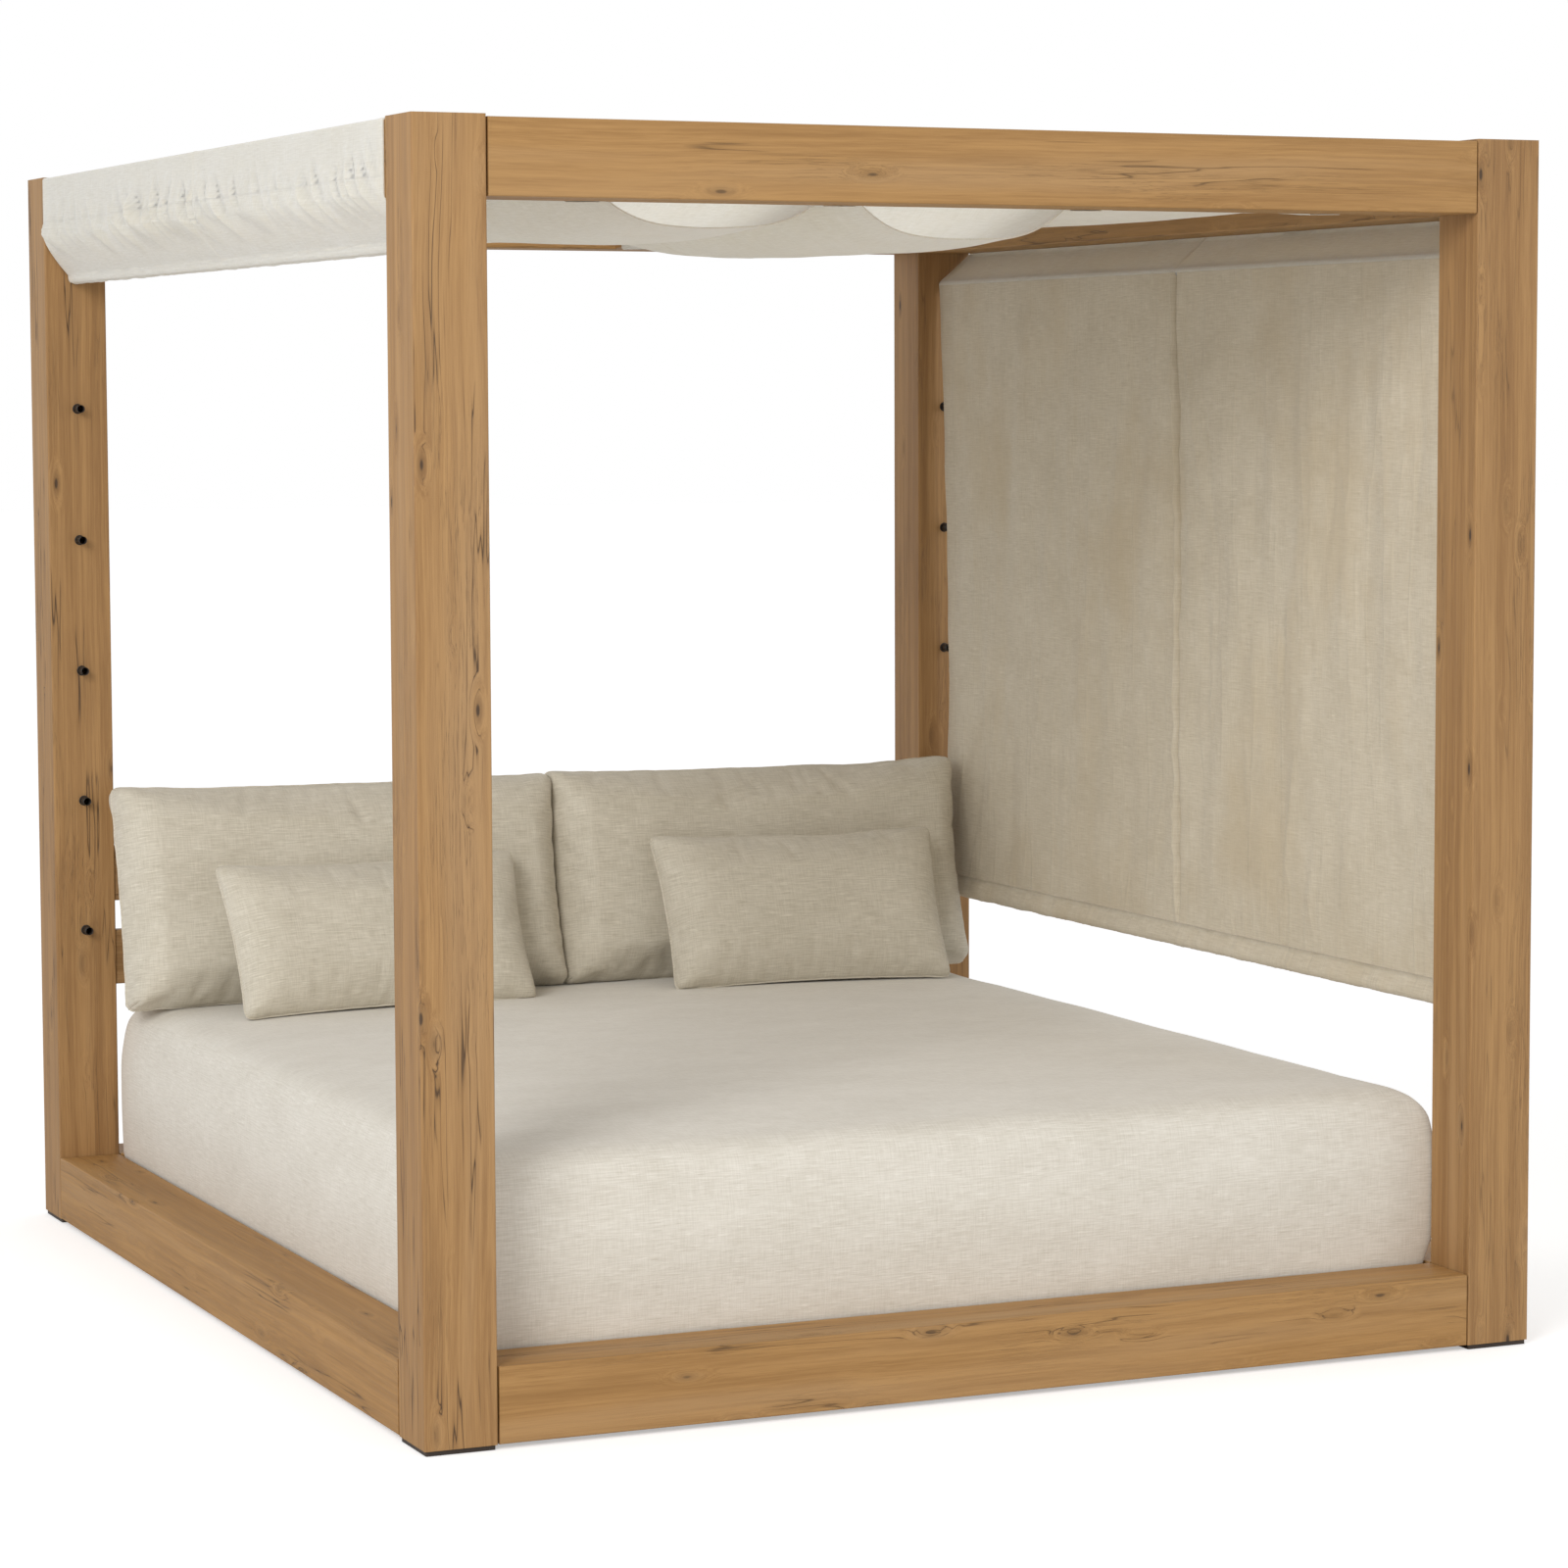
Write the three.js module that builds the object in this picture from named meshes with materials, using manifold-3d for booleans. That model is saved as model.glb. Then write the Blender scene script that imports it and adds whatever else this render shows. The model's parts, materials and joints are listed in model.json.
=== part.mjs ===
// Outdoor daybed with a canopy. Four posts carry two rings of beams. A deep mattress lies on a slatted deck
// inside the lower ring, two back cushions and two pillows lean against rails between the back posts, and one
// long cloth passes over the upper ring, swags between four cross laths and hangs down on the right.
// The cloth's two ends are sewn round hem bars, whose spring pins drop into rows of holes in the posts:
// as one bar is set higher, the same length of cloth lets the other one down.
// Millimetres, +X to the right, +Y to the back, +Z up. The origin is on the floor, under the frame's centre.

import * as THREE from 'three';
import { mergeVertices } from 'three/addons/utils/BufferGeometryUtils.js';
import Module from 'manifold-3d';

const wasm = await Module();
wasm.setup();

// Frame
const frameWidth = 2040;
const frameDepth = 2390;
const frameHeight = 2100;
const postWidth = 122.5;
const postDepth = 127;
const footHeight = 8;
const footInset = 3;
const bottomBeamHeight = 125;
const topBeamHeight = 123;
const topBeamReveal = 4;
const edgeRound = 3;
const shadowGap = 3;
const fitGap = 0.3;
const overrun = 2;

// Tenons of the beams, and their mortises in the posts
const tenonLength = 36;
const tenonWidth = 44;
const tenonShoulder = 28;
const tenonRoot = 7.5;

// Rows of holes in the posts
const holeDiameter = 16.5;
const holeDepth = 24;
const lowestHoleHeight = 594;
const topHoleDrop = 69;
const holeCount = 6;

// Cross laths under the cloth
const lathWidth = 60;
const lathThickness = 10;
const lathRise = 37;
const lathSteps = 10;
const lathRound = 2.5;
const lathHousing = 14;
const lathEndBay = 215;
const lathCount = 4;

// Deck
const ledgerWidth = 30;
const ledgerHeight = 30;
const railWidth = 60;
const railHeight = 65;
const railTenonLength = 15;
const railTenonShoulder = 12;
const slatThickness = 20;
const slatWidth = 95;
const slatCount = 9;
const slatEndGap = 4;
const deckTop = 115;
const centreFootRadius = 26;
const centreFootFlare = 34;
const centreFootPad = 6;

// Corner brackets under the deck
const bracketLeg = 62;
const bracketHeight = 34;
const bracketThickness = 4;
const bracketBend = 4;
const bracketFloor = 20;
const bracketHole = 8;
const bracketHolePlaces = [24, 46];

// Rails behind the back cushions
const backRailThickness = 28;
const backRailHeight = 110;
const backRailInset = 5;
const backRailHeights = [480, 650];
const backTenonLength = 28;
const backTenonWidth = 16;
const backTenonShoulder = 12;

// Soft blocks swell by so much at the middle of each face, or are drawn in where the amount is negative.
// The faces come in the order left, right, front, back, bottom, top.

// Mattress
const mattressHeight = 324;
const mattressCrown = 16;
const mattressSwells = [-4, -4, -4, -4, 0, mattressCrown];
const mattressEdge = 52;
const mattressSquareness = 7;
const mattressGap = 13;

// Back cushions
const cushionSideGap = 16.35;
const cushionHeight = 452;
const cushionThickness = 168;
const cushionEdge = 46;
const cushionSwells = [-16, -16, 22, 22, -16, -16];
const cushionGap = 12;
const cushionBackGap = 8;
const cushionSink = 0.95;
const cushionLean = THREE.MathUtils.degToRad(12);

// Pillows
const pillowWidthShare = 0.681;
const pillowHeight = 318;
const pillowThickness = 104;
const pillowEdge = 34;
const pillowSwells = [-14, -14, 26, 26, -14, -14];
const pillowLean = THREE.MathUtils.degToRad(24);
const pillowGap = 7;
const pillowNestShare = 0.5;
const pillowPlaces = [
  { name: 'pillow_left', offsetShare: 0.016, turn: THREE.MathUtils.degToRad(4) },
  { name: 'pillow_right', offsetShare: -0.012, turn: THREE.MathUtils.degToRad(-3) },
];

// Hem bars, guide bar and pins
const barDiameter = 22;
const barEndGap = 0.5;
const barBore = 15;
const pinDiameter = 14.4;
const pinLength = 62;
const pinNose = 2;
const pinRecess = 0.6;
const pegDiameter = 15.7;
const pegLength = 16;

// Cloth
const clothThickness = 3;
const clothGap = 0.5;
const clothEndGap = 4;
const sleeveWall = 3;
const sleeveTip = 33;
const sleeveClearance = 0.4;
const seamGap = 1;
const frontSwagSags = [45, 77, 12];
const backSwagSags = [20, 21, 10];
const swagPower = 2.1;
const swagEaseShares = { from: 0.3, to: 0.85 };
const endBaySag = 4;
const hemNarrowing = 32;
const narrowingPower = 3;
const curtainFolds = [{ depth: 5.4, waves: 5.19, phase: 0 }, { depth: 3.6, waves: 8.83, phase: 1 }];
const leftHoleIndex = 5;
const rightHoleIndex = 0;
const guideHoleIndex = 5;

// Curve quality
const cornerSteps = 2;
const roundSteps = 14;
const barSteps = 20;
const swagSteps = 6;
const guideSteps = 4;
const clothColumns = 8;
const dropRows = 2;
const curtainColumns = 26;
const curtainRows = 8;
const mattressSteps = [12, 12, 5];
const cushionSteps = [10, 5, 8];
const pillowSteps = [10, 5, 6];

// Worked out from the sizes above
const postX = (frameWidth - postWidth) / 2;
const postY = (frameDepth - postDepth) / 2;
const innerX = frameWidth / 2 - postWidth;
const innerY = frameDepth / 2 - postDepth;
const topBeamTop = frameHeight - topBeamReveal;
const topBeamBottom = topBeamTop - topBeamHeight;
const slatBottom = deckTop - slatThickness;
const holePitch = (topBeamBottom - topHoleDrop - lowestHoleHeight) / (holeCount - 1);
const holeHeight = (index) => lowestHoleHeight + index * holePitch;
const lathSpacing = (2 * (innerX - lathEndBay)) / (lathCount - 1);
const sleeveRadius = barDiameter / 2 + sleeveClearance + sleeveWall;
const cushionWidth = postX - sleeveRadius - cushionSideGap - cushionGap / 2;
const pillowWidth = pillowWidthShare * cushionWidth;
const clothReach = innerY - clothEndGap;
const lathTop = topBeamBottom + lathThickness;
const clothOffset = clothGap + clothThickness / 2;
const clothBend = edgeRound + clothOffset;

const materials = {
  wood: new THREE.MeshStandardMaterial({ color: 0xb88c5c, roughness: 0.62, metalness: 0 }),
  innerWood: new THREE.MeshStandardMaterial({ color: 0x9c7548, roughness: 0.7, metalness: 0 }),
  foot: new THREE.MeshStandardMaterial({ color: 0x38271a, roughness: 0.6, metalness: 0 }),
  canvas: new THREE.MeshStandardMaterial({ color: 0xd9d4c6, roughness: 0.9, metalness: 0 }),
  mattress: new THREE.MeshStandardMaterial({ color: 0xd6d0c2, roughness: 0.95, metalness: 0 }),
  linen: new THREE.MeshStandardMaterial({ color: 0xbdb49e, roughness: 0.95, metalness: 0 }),
  steel: new THREE.MeshStandardMaterial({ color: 0x8d8f91, roughness: 0.4, metalness: 0.9 }),
};

const daybed = new THREE.Group();

function add(name, geometry, material, place = [0, 0, 0]) {
  const mesh = new THREE.Mesh(geometry, material);
  mesh.name = name;
  mesh.position.set(...place);
  daybed.add(mesh);
}

// Solids for joining and cutting

function toSolid(geometry) {
  const bare = geometry.clone();
  for (const name of Object.keys(bare.attributes)) {
    if (name !== 'position') bare.deleteAttribute(name);
  }
  const merged = mergeVertices(bare);
  return new wasm.Manifold(new wasm.Mesh({
    numProp: 3,
    vertProperties: new Float32Array(merged.attributes.position.array),
    triVerts: new Uint32Array(merged.index.array),
  }));
}

function toGeometry(solid) {
  const mesh = solid.getMesh();
  const geometry = new THREE.BufferGeometry();
  geometry.setAttribute('position', new THREE.BufferAttribute(new Float32Array(mesh.vertProperties), 3));
  geometry.setIndex(new THREE.BufferAttribute(new Uint32Array(mesh.triVerts), 1));
  geometry.computeVertexNormals();
  return geometry;
}

function block(size, centre) {
  return new THREE.BoxGeometry(...size).translate(...centre);
}

// Timber

function roundedOutline(width, height, radius) {
  const x = width / 2;
  const y = height / 2;
  const shape = new THREE.Shape();
  shape.moveTo(-x + radius, -y);
  shape.lineTo(x - radius, -y);
  shape.absarc(x - radius, -y + radius, radius, -Math.PI / 2, 0);
  shape.absarc(x - radius, y - radius, radius, 0, Math.PI / 2);
  shape.absarc(-x + radius, y - radius, radius, Math.PI / 2, Math.PI);
  shape.absarc(-x + radius, -y + radius, radius, Math.PI, Math.PI * 1.5);
  return shape;
}

// A timber centred on the origin, its long edges eased, its length along the given axis
function timber(axis, size, radius = edgeRound, steps = 1) {
  const sections = { x: [size[2], size[1]], y: [size[0], size[2]], z: [size[0], size[1]] };
  const lengths = { x: size[0], y: size[1], z: size[2] };
  const outline = roundedOutline(...sections[axis], radius);
  const options = { depth: lengths[axis], steps, bevelEnabled: false, curveSegments: cornerSteps };
  const geometry = new THREE.ExtrudeGeometry(outline, options).translate(0, 0, -lengths[axis] / 2);
  if (axis === 'x') geometry.rotateY(Math.PI / 2);
  if (axis === 'y') geometry.rotateX(Math.PI / 2);
  return geometry;
}

// A mortise is the tenon's box with the fit gap all round, deeper by the gap at its end
function mortise(size, centre) {
  return toSolid(block(size.map((length) => length + 2 * fitGap), centre));
}

function beamTenon(axis, height) {
  const depth = tenonLength + shadowGap;
  const tall = height - 2 * tenonShoulder;
  return axis === 'x' ? [depth, tenonWidth, tall] : [tenonWidth, depth, tall];
}

// Posts stand at the corners. side is -1 on the left and 1 on the right, end is -1 in front and 1 behind.
function makePost(side, end) {
  const height = frameHeight - footHeight;
  const stood = timber('z', [postWidth, postDepth, height]).translate(0, 0, footHeight + height / 2);
  let post = toSolid(stood);
  const beams = [
    { height: bottomBeamHeight, centre: footHeight + bottomBeamHeight / 2 },
    { height: topBeamHeight, centre: topBeamTop - topBeamHeight / 2 },
  ];
  const tenonReach = tenonLength / 2 - shadowGap / 2;
  for (const beam of beams) {
    const alongX = [-side * (postWidth / 2 - tenonReach), 0, beam.centre];
    const alongY = [0, -end * (postDepth / 2 - tenonReach), beam.centre];
    post = post.subtract(mortise(beamTenon('x', beam.height), alongX));
    post = post.subtract(mortise(beamTenon('y', beam.height), alongY));
  }
  for (let index = 0; index < holeCount; index += 1) {
    const drill = new THREE.CylinderGeometry(
      holeDiameter / 2, holeDiameter / 2, holeDepth + overrun, roundSteps);
    const y = -end * (postDepth / 2 - (holeDepth - overrun) / 2);
    post = post.subtract(toSolid(drill.translate(0, y, holeHeight(index))));
  }
  if (end > 0) {
    for (const height of backRailHeights) {
      const size = [backTenonLength, backTenonWidth, backRailHeight - 2 * backTenonShoulder];
      const y = -postDepth / 2 + backRailInset + backRailThickness / 2;
      const centre = [-side * (postWidth - backTenonLength + 2 * fitGap) / 2, y, height + backRailHeight / 2];
      post = post.subtract(mortise(size, centre));
    }
  }
  return toGeometry(post);
}

const sides = [{ name: 'left', sign: -1 }, { name: 'right', sign: 1 }];
const ends = [{ name: 'front', sign: -1 }, { name: 'back', sign: 1 }];

for (const end of ends) {
  for (const side of sides) {
    const place = [side.sign * postX, end.sign * postY, 0];
    add(`post_${end.name}_${side.name}`, makePost(side.sign, end.sign), materials.wood, place);
    const footSize = [postWidth - 2 * footInset, postDepth - 2 * footInset, footHeight - fitGap];
    const foot = timber('z', footSize).translate(0, 0, footSize[2] / 2);
    add(`foot_${end.name}_${side.name}`, foot, materials.foot, place);
  }
}

// Beams: the shoulders stop short of the posts by the shadow gap, and the tenons run on into them
function makeBeam(axis, height) {
  const tenon = beamTenon(axis, height);
  let beam;
  if (axis === 'x') {
    const length = 2 * (innerX - shadowGap);
    beam = toSolid(timber('x', [length, postDepth, height]));
    for (const side of sides) {
      const x = side.sign * (innerX + tenonLength / 2 - shadowGap / 2 - fitGap);
      beam = beam.add(toSolid(block(tenon, [x, 0, 0])));
    }
  } else {
    const length = 2 * (innerY - shadowGap);
    beam = toSolid(timber('y', [postWidth, length, height]));
    for (const end of ends) {
      const y = end.sign * (innerY + tenonLength / 2 - shadowGap / 2 - fitGap);
      beam = beam.add(toSolid(block(tenon, [0, y, 0])));
    }
  }
  return beam;
}

// The laths are bowed upwards between their ends, and the cloth is held up by them
const lathReach = innerY + lathHousing;
const lathBow = (y) => lathRise * (1 - (y / lathReach) ** 2);
const lathPlaces = [];
for (let index = 0; index < lathCount; index += 1) {
  lathPlaces.push((index - (lathCount - 1) / 2) * lathSpacing);
}

// The front and back beams of the upper ring are notched from below for the laths
for (const end of ends) {
  const z = topBeamTop - topBeamHeight / 2;
  const centre = [0, end.sign * postY, z];
  let beam = makeBeam('x', topBeamHeight).translate(centre);
  const depth = lathHousing + fitGap + overrun;
  for (const x of lathPlaces) {
    const size = [lathWidth + 2 * fitGap, depth, lathThickness + lathBow(innerY) + overrun];
    const y = end.sign * (innerY + depth / 2 - overrun);
    beam = beam.subtract(toSolid(block(size, [x, y, topBeamBottom + size[2] / 2 - overrun])));
  }
  add(`top_beam_${end.name}`, toGeometry(beam), materials.wood);
}

for (const side of sides) {
  const z = topBeamTop - topBeamHeight / 2;
  const beam = makeBeam('y', topBeamHeight).translate([side.sign * postX, 0, z]);
  add(`top_beam_${side.name}`, toGeometry(beam), materials.wood);
}

// The front and back beams of the lower ring have a mortise for the deck's centre rail
const railBottom = slatBottom - fitGap - railHeight;
const railTenon = [railWidth - 2 * railTenonShoulder, railTenonLength, railHeight - 2 * railTenonShoulder];
for (const end of ends) {
  const z = footHeight + bottomBeamHeight / 2;
  let beam = makeBeam('x', bottomBeamHeight).translate([0, end.sign * postY, z]);
  const y = end.sign * (innerY + railTenonLength / 2);
  beam = beam.subtract(mortise(railTenon, [0, y, railBottom + railHeight / 2]));
  add(`bottom_beam_${end.name}`, toGeometry(beam), materials.wood);
}

for (const side of sides) {
  const z = footHeight + bottomBeamHeight / 2;
  const beam = makeBeam('y', bottomBeamHeight).translate([side.sign * postX, 0, z]);
  add(`bottom_beam_${side.name}`, toGeometry(beam), materials.wood);
}

// Cross laths, housed in the notches, their ends flush with the beams' undersides
lathPlaces.forEach((x, index) => {
  const lath = timber('y', [lathWidth, 2 * lathReach, lathThickness - fitGap], lathRound, lathSteps);
  const points = lath.attributes.position;
  for (let point = 0; point < points.count; point += 1) {
    points.setZ(point, points.getZ(point) + lathBow(points.getY(point)));
  }
  lath.computeVertexNormals();
  const z = topBeamBottom + (lathThickness - fitGap) / 2;
  add(`cross_lath_${index + 1}`, lath, materials.wood, [x, 0, z]);
});

// Deck: ledgers on the side beams, a centre rail on a foot, and slats across them
for (const side of sides) {
  const length = 2 * (innerY - shadowGap);
  const ledger = timber('y', [ledgerWidth, length, ledgerHeight]);
  const x = side.sign * (innerX - fitGap - ledgerWidth / 2);
  const z = slatBottom - fitGap - ledgerHeight / 2;
  add(`deck_ledger_${side.name}`, ledger, materials.innerWood, [x, 0, z]);
}

const railLength = 2 * (innerY - fitGap);
let rail = toSolid(timber('y', [railWidth, railLength, railHeight]));
for (const end of ends) {
  const y = end.sign * (innerY + (railTenonLength - tenonRoot) / 2 - fitGap);
  const size = [railTenon[0], railTenonLength + tenonRoot, railTenon[2]];
  rail = rail.add(toSolid(block(size, [0, y, 0])));
}
add('deck_centre_rail', toGeometry(rail), materials.innerWood, [0, 0, railBottom + railHeight / 2]);

const footTop = railBottom - fitGap;
const footProfile = [
  new THREE.Vector2(0, 0),
  new THREE.Vector2(centreFootFlare, 0),
  new THREE.Vector2(centreFootFlare, centreFootPad),
  new THREE.Vector2(centreFootRadius, centreFootPad * 2),
  new THREE.Vector2(centreFootRadius, footTop),
  new THREE.Vector2(0, footTop),
];
const centreFoot = new THREE.LatheGeometry(footProfile, barSteps).rotateX(Math.PI / 2);
add('deck_centre_foot', centreFoot, materials.foot);

const slatSpan = 2 * innerY - 2 * slatEndGap - slatWidth;
for (let index = 0; index < slatCount; index += 1) {
  const y = -slatSpan / 2 + (slatSpan * index) / (slatCount - 1);
  const length = 2 * (innerX - slatEndGap);
  const slat = timber('x', [length, slatWidth, slatThickness]);
  add(`deck_slat_${index + 1}`, slat, materials.innerWood, [0, y, slatBottom + slatThickness / 2]);
}

// Steel angles in the lower ring's inner corners, two bolt holes in each leg
function makeBracket(side, end) {
  const bendCentre = bracketThickness + bracketBend;
  const outline = new THREE.Shape();
  outline.moveTo(0, 0);
  outline.lineTo(bracketLeg, 0);
  outline.lineTo(bracketLeg, bracketThickness);
  outline.lineTo(bendCentre, bracketThickness);
  outline.absarc(bendCentre, bendCentre, bracketBend, -Math.PI / 2, -Math.PI, true);
  outline.lineTo(bracketThickness, bracketLeg);
  outline.lineTo(0, bracketLeg);
  const options = { depth: bracketHeight, bevelEnabled: false, curveSegments: cornerSteps };
  let bracket = toSolid(new THREE.ExtrudeGeometry(outline, options));
  const drillLength = bracketThickness + 2 * overrun;
  for (const place of bracketHolePlaces) {
    const drill = new THREE.CylinderGeometry(bracketHole / 2, bracketHole / 2, drillLength, roundSteps);
    const front = drill.clone().translate(place, bracketThickness / 2, bracketHeight / 2);
    const flank = drill.rotateZ(Math.PI / 2).translate(bracketThickness / 2, place, bracketHeight / 2);
    bracket = bracket.subtract(toSolid(front)).subtract(toSolid(flank));
  }
  const quarter = { '-1,-1': 0, '1,-1': 90, '1,1': 180, '-1,1': 270 }[`${side},${end}`];
  const place = [side * (innerX - fitGap), end * (innerY - fitGap), bracketFloor];
  return toGeometry(bracket.rotate([0, 0, quarter]).translate(place));
}

for (const end of ends) {
  for (const side of sides) {
    add(`corner_bracket_${end.name}_${side.name}`, makeBracket(side.sign, end.sign), materials.steel);
  }
}

// Rails behind the cushions, tenoned into the back posts
backRailHeights.forEach((height, index) => {
  const length = 2 * (innerX - fitGap);
  const y = innerY + backRailInset + backRailThickness / 2;
  const z = height + backRailHeight / 2;
  let backRail = toSolid(timber('x', [length, backRailThickness, backRailHeight]));
  for (const side of sides) {
    const size = [backTenonLength, backTenonWidth, backRailHeight - 2 * backTenonShoulder];
    const x = side.sign * (innerX + backTenonLength / 2 - 2 * fitGap);
    backRail = backRail.add(toSolid(block(size, [x, 0, 0])));
  }
  add(`back_rail_${index === 0 ? 'lower' : 'upper'}`, toGeometry(backRail), materials.innerWood, [0, y, z]);
});

// Soft block: a box with rounded top edges, each face of which swells out or is drawn in towards its middle.
// At a squareness of 2 its other edges are as round, and at more they are tighter.
function softBlock(size, edge, swells, steps, squareness = 2) {
  const half = size.map((length) => length / 2);
  const geometry = new THREE.BoxGeometry(2, 2, 2, ...steps);
  const position = geometry.attributes.position;
  for (let index = 0; index < position.count; index += 1) {
    const unit = [position.getX(index), position.getY(index), position.getZ(index)];
    const share = unit.map((value) => Math.sin((value * Math.PI) / 2));
    const point = share.map((value, axis) => value * half[axis]);
    const core = point.map((value, axis) => {
      const reach = half[axis] - edge;
      return THREE.MathUtils.clamp(value, -reach, reach);
    });
    const out = new THREE.Vector3(point[0] - core[0], point[1] - core[1], point[2] - core[2]);
    const level = (Math.abs(out.x) ** squareness + Math.abs(out.y) ** squareness) ** (1 / squareness);
    const power = out.z > 0 ? 2 : squareness;
    out.multiplyScalar(edge / (level ** power + Math.abs(out.z) ** power) ** (1 / power));
    const shaped = [core[0] + out.x, core[1] + out.y, core[2] + out.z];
    const fullness = share.map((value) => 1 - value * value);
    for (let axis = 0; axis < 3; axis += 1) {
      const others = [0, 1, 2].filter((other) => other !== axis);
      const middle = fullness[others[0]] * fullness[others[1]];
      const swell = swells[share[axis] > 0 ? 2 * axis + 1 : 2 * axis];
      shaped[axis] += swell * middle * share[axis] * Math.abs(share[axis]);
    }
    position.setXYZ(index, ...shaped);
  }
  return toGeometry(toSolid(geometry));
}

// Mattress
const mattressWidth = 2 * (innerX - mattressGap);
const mattressDepth = 2 * (innerY - mattressGap);
const mattressBase = deckTop + fitGap;
const mattressSize = [mattressWidth, mattressDepth, mattressHeight];
const mattress = softBlock(mattressSize, mattressEdge, mattressSwells, mattressSteps, mattressSquareness);
add('mattress', mattress, materials.mattress, [0, 0, mattressBase + mattressHeight / 2]);

function mattressTop(x, y) {
  const across = Math.min(1, Math.abs((2 * x) / mattressWidth));
  const along = Math.min(1, Math.abs((2 * y) / mattressDepth));
  return mattressBase + mattressHeight + mattressCrown * (1 - across * across) * (1 - along * along);
}

// Lowers a placed shape on to the mattress and leaves the fit gap under it. The mattress's flat facets lie
// a little below its true curve, and the shape sinks by as much.
function settle(geometry, sink = 0) {
  const position = geometry.attributes.position;
  let least = Infinity;
  for (let index = 0; index < position.count; index += 1) {
    const top = mattressTop(position.getX(index), position.getY(index));
    least = Math.min(least, position.getZ(index) - top);
  }
  return geometry.translate(0, 0, fitGap - least - sink);
}

// Pushes a placed shape back until its hindmost point reaches the given place
function pushBack(geometry, place) {
  geometry.computeBoundingBox();
  return geometry.translate(0, place - geometry.boundingBox.max.y, 0);
}

const cushionSize = [cushionWidth, cushionThickness, cushionHeight];
const cushionFronts = {};
for (const side of sides) {
  const x = side.sign * (cushionWidth + cushionGap) / 2;
  const shape = softBlock(cushionSize, cushionEdge, cushionSwells, cushionSteps);
  shape.rotateX(-cushionLean).translate(x, 0, 0);
  pushBack(shape, innerY - cushionBackGap);
  settle(shape, cushionSink);
  shape.computeBoundingBox();
  cushionFronts[side.name] = shape.boundingBox.min.y;
  add(`back_cushion_${side.name}`, shape, materials.linen);
}

// A pillow's top lies back over the slope of the cushion behind it
const pillowSize = [pillowWidth, pillowThickness, pillowHeight];
const pillowNest = pillowNestShare * pillowHeight * Math.tan(cushionLean);
pillowPlaces.forEach((place, index) => {
  const side = sides[index];
  const shape = softBlock(pillowSize, pillowEdge, pillowSwells, pillowSteps);
  shape.rotateX(-pillowLean).rotateZ(place.turn);
  const middle = side.sign * (cushionWidth + cushionGap) / 2;
  shape.translate(middle + place.offsetShare * cushionWidth, 0, 0);
  pushBack(shape, cushionFronts[side.name] + pillowNest - pillowGap);
  settle(shape);
  add(place.name, shape, materials.linen);
});

// Guide bar: one turned bar with a peg at each end, in the top holes of the right posts
const barRadius = barDiameter / 2;
const barHalf = innerY - barEndGap;
const pegRadius = pegDiameter / 2;
const guideProfile = [
  new THREE.Vector2(0, -barHalf - pegLength),
  new THREE.Vector2(pegRadius, -barHalf - pegLength),
  new THREE.Vector2(pegRadius, -barHalf),
  new THREE.Vector2(barRadius, -barHalf),
  new THREE.Vector2(barRadius, barHalf),
  new THREE.Vector2(pegRadius, barHalf),
  new THREE.Vector2(pegRadius, barHalf + pegLength),
  new THREE.Vector2(0, barHalf + pegLength),
];
const guideBar = new THREE.LatheGeometry(guideProfile, barSteps);
add('guide_bar_right', guideBar, materials.steel, [postX, 0, holeHeight(guideHoleIndex)]);

// Hem bars: a tube between the posts, with a spring pin in each end
const boreRadius = barBore / 2;
const tubeProfile = [
  new THREE.Vector2(boreRadius, -barHalf),
  new THREE.Vector2(barRadius, -barHalf),
  new THREE.Vector2(barRadius, barHalf),
  new THREE.Vector2(boreRadius, barHalf),
  new THREE.Vector2(boreRadius, -barHalf),
];
const pinRadius = pinDiameter / 2;
const pinProfile = [
  new THREE.Vector2(0, 0),
  new THREE.Vector2(pinRadius - pinNose, 0),
  new THREE.Vector2(pinRadius, pinNose),
  new THREE.Vector2(pinRadius, pinLength),
  new THREE.Vector2(0, pinLength),
];

const hems = [
  { name: 'left', sign: -1, height: holeHeight(leftHoleIndex) },
  { name: 'right', sign: 1, height: holeHeight(rightHoleIndex) },
];
for (const hem of hems) {
  const place = [hem.sign * postX, 0, hem.height];
  add(`hem_bar_${hem.name}`, new THREE.LatheGeometry(tubeProfile, barSteps), materials.steel, place);
  for (const end of ends) {
    const pin = new THREE.LatheGeometry(pinProfile, barSteps);
    if (end.sign > 0) pin.rotateX(Math.PI);
    const y = end.sign * (barHalf - pinRecess);
    add(`pin_${hem.name}_${end.name}`, pin, materials.steel, [place[0], y, place[2]]);
  }
}

// Hem sleeve: the cloth's sewn pocket, drop-shaped round the bar, its seam pointing to the cloth
function makeSleeve(angle) {
  const inner = barRadius + sleeveClearance;
  const tangent = Math.acos(sleeveRadius / sleeveTip);
  const outline = new THREE.Shape();
  outline.absarc(0, 0, sleeveRadius, angle + tangent, angle - tangent + 2 * Math.PI, false);
  outline.lineTo(sleeveTip * Math.cos(angle), sleeveTip * Math.sin(angle));
  const options = { depth: 2 * clothReach, bevelEnabled: false, curveSegments: roundSteps };
  const pocket = new THREE.ExtrudeGeometry(outline, options).rotateX(Math.PI / 2).translate(0, clothReach, 0);
  const bore = new THREE.CylinderGeometry(inner, inner, 2 * (clothReach + overrun), barSteps);
  return toGeometry(toSolid(pocket).subtract(toSolid(bore)));
}

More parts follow.
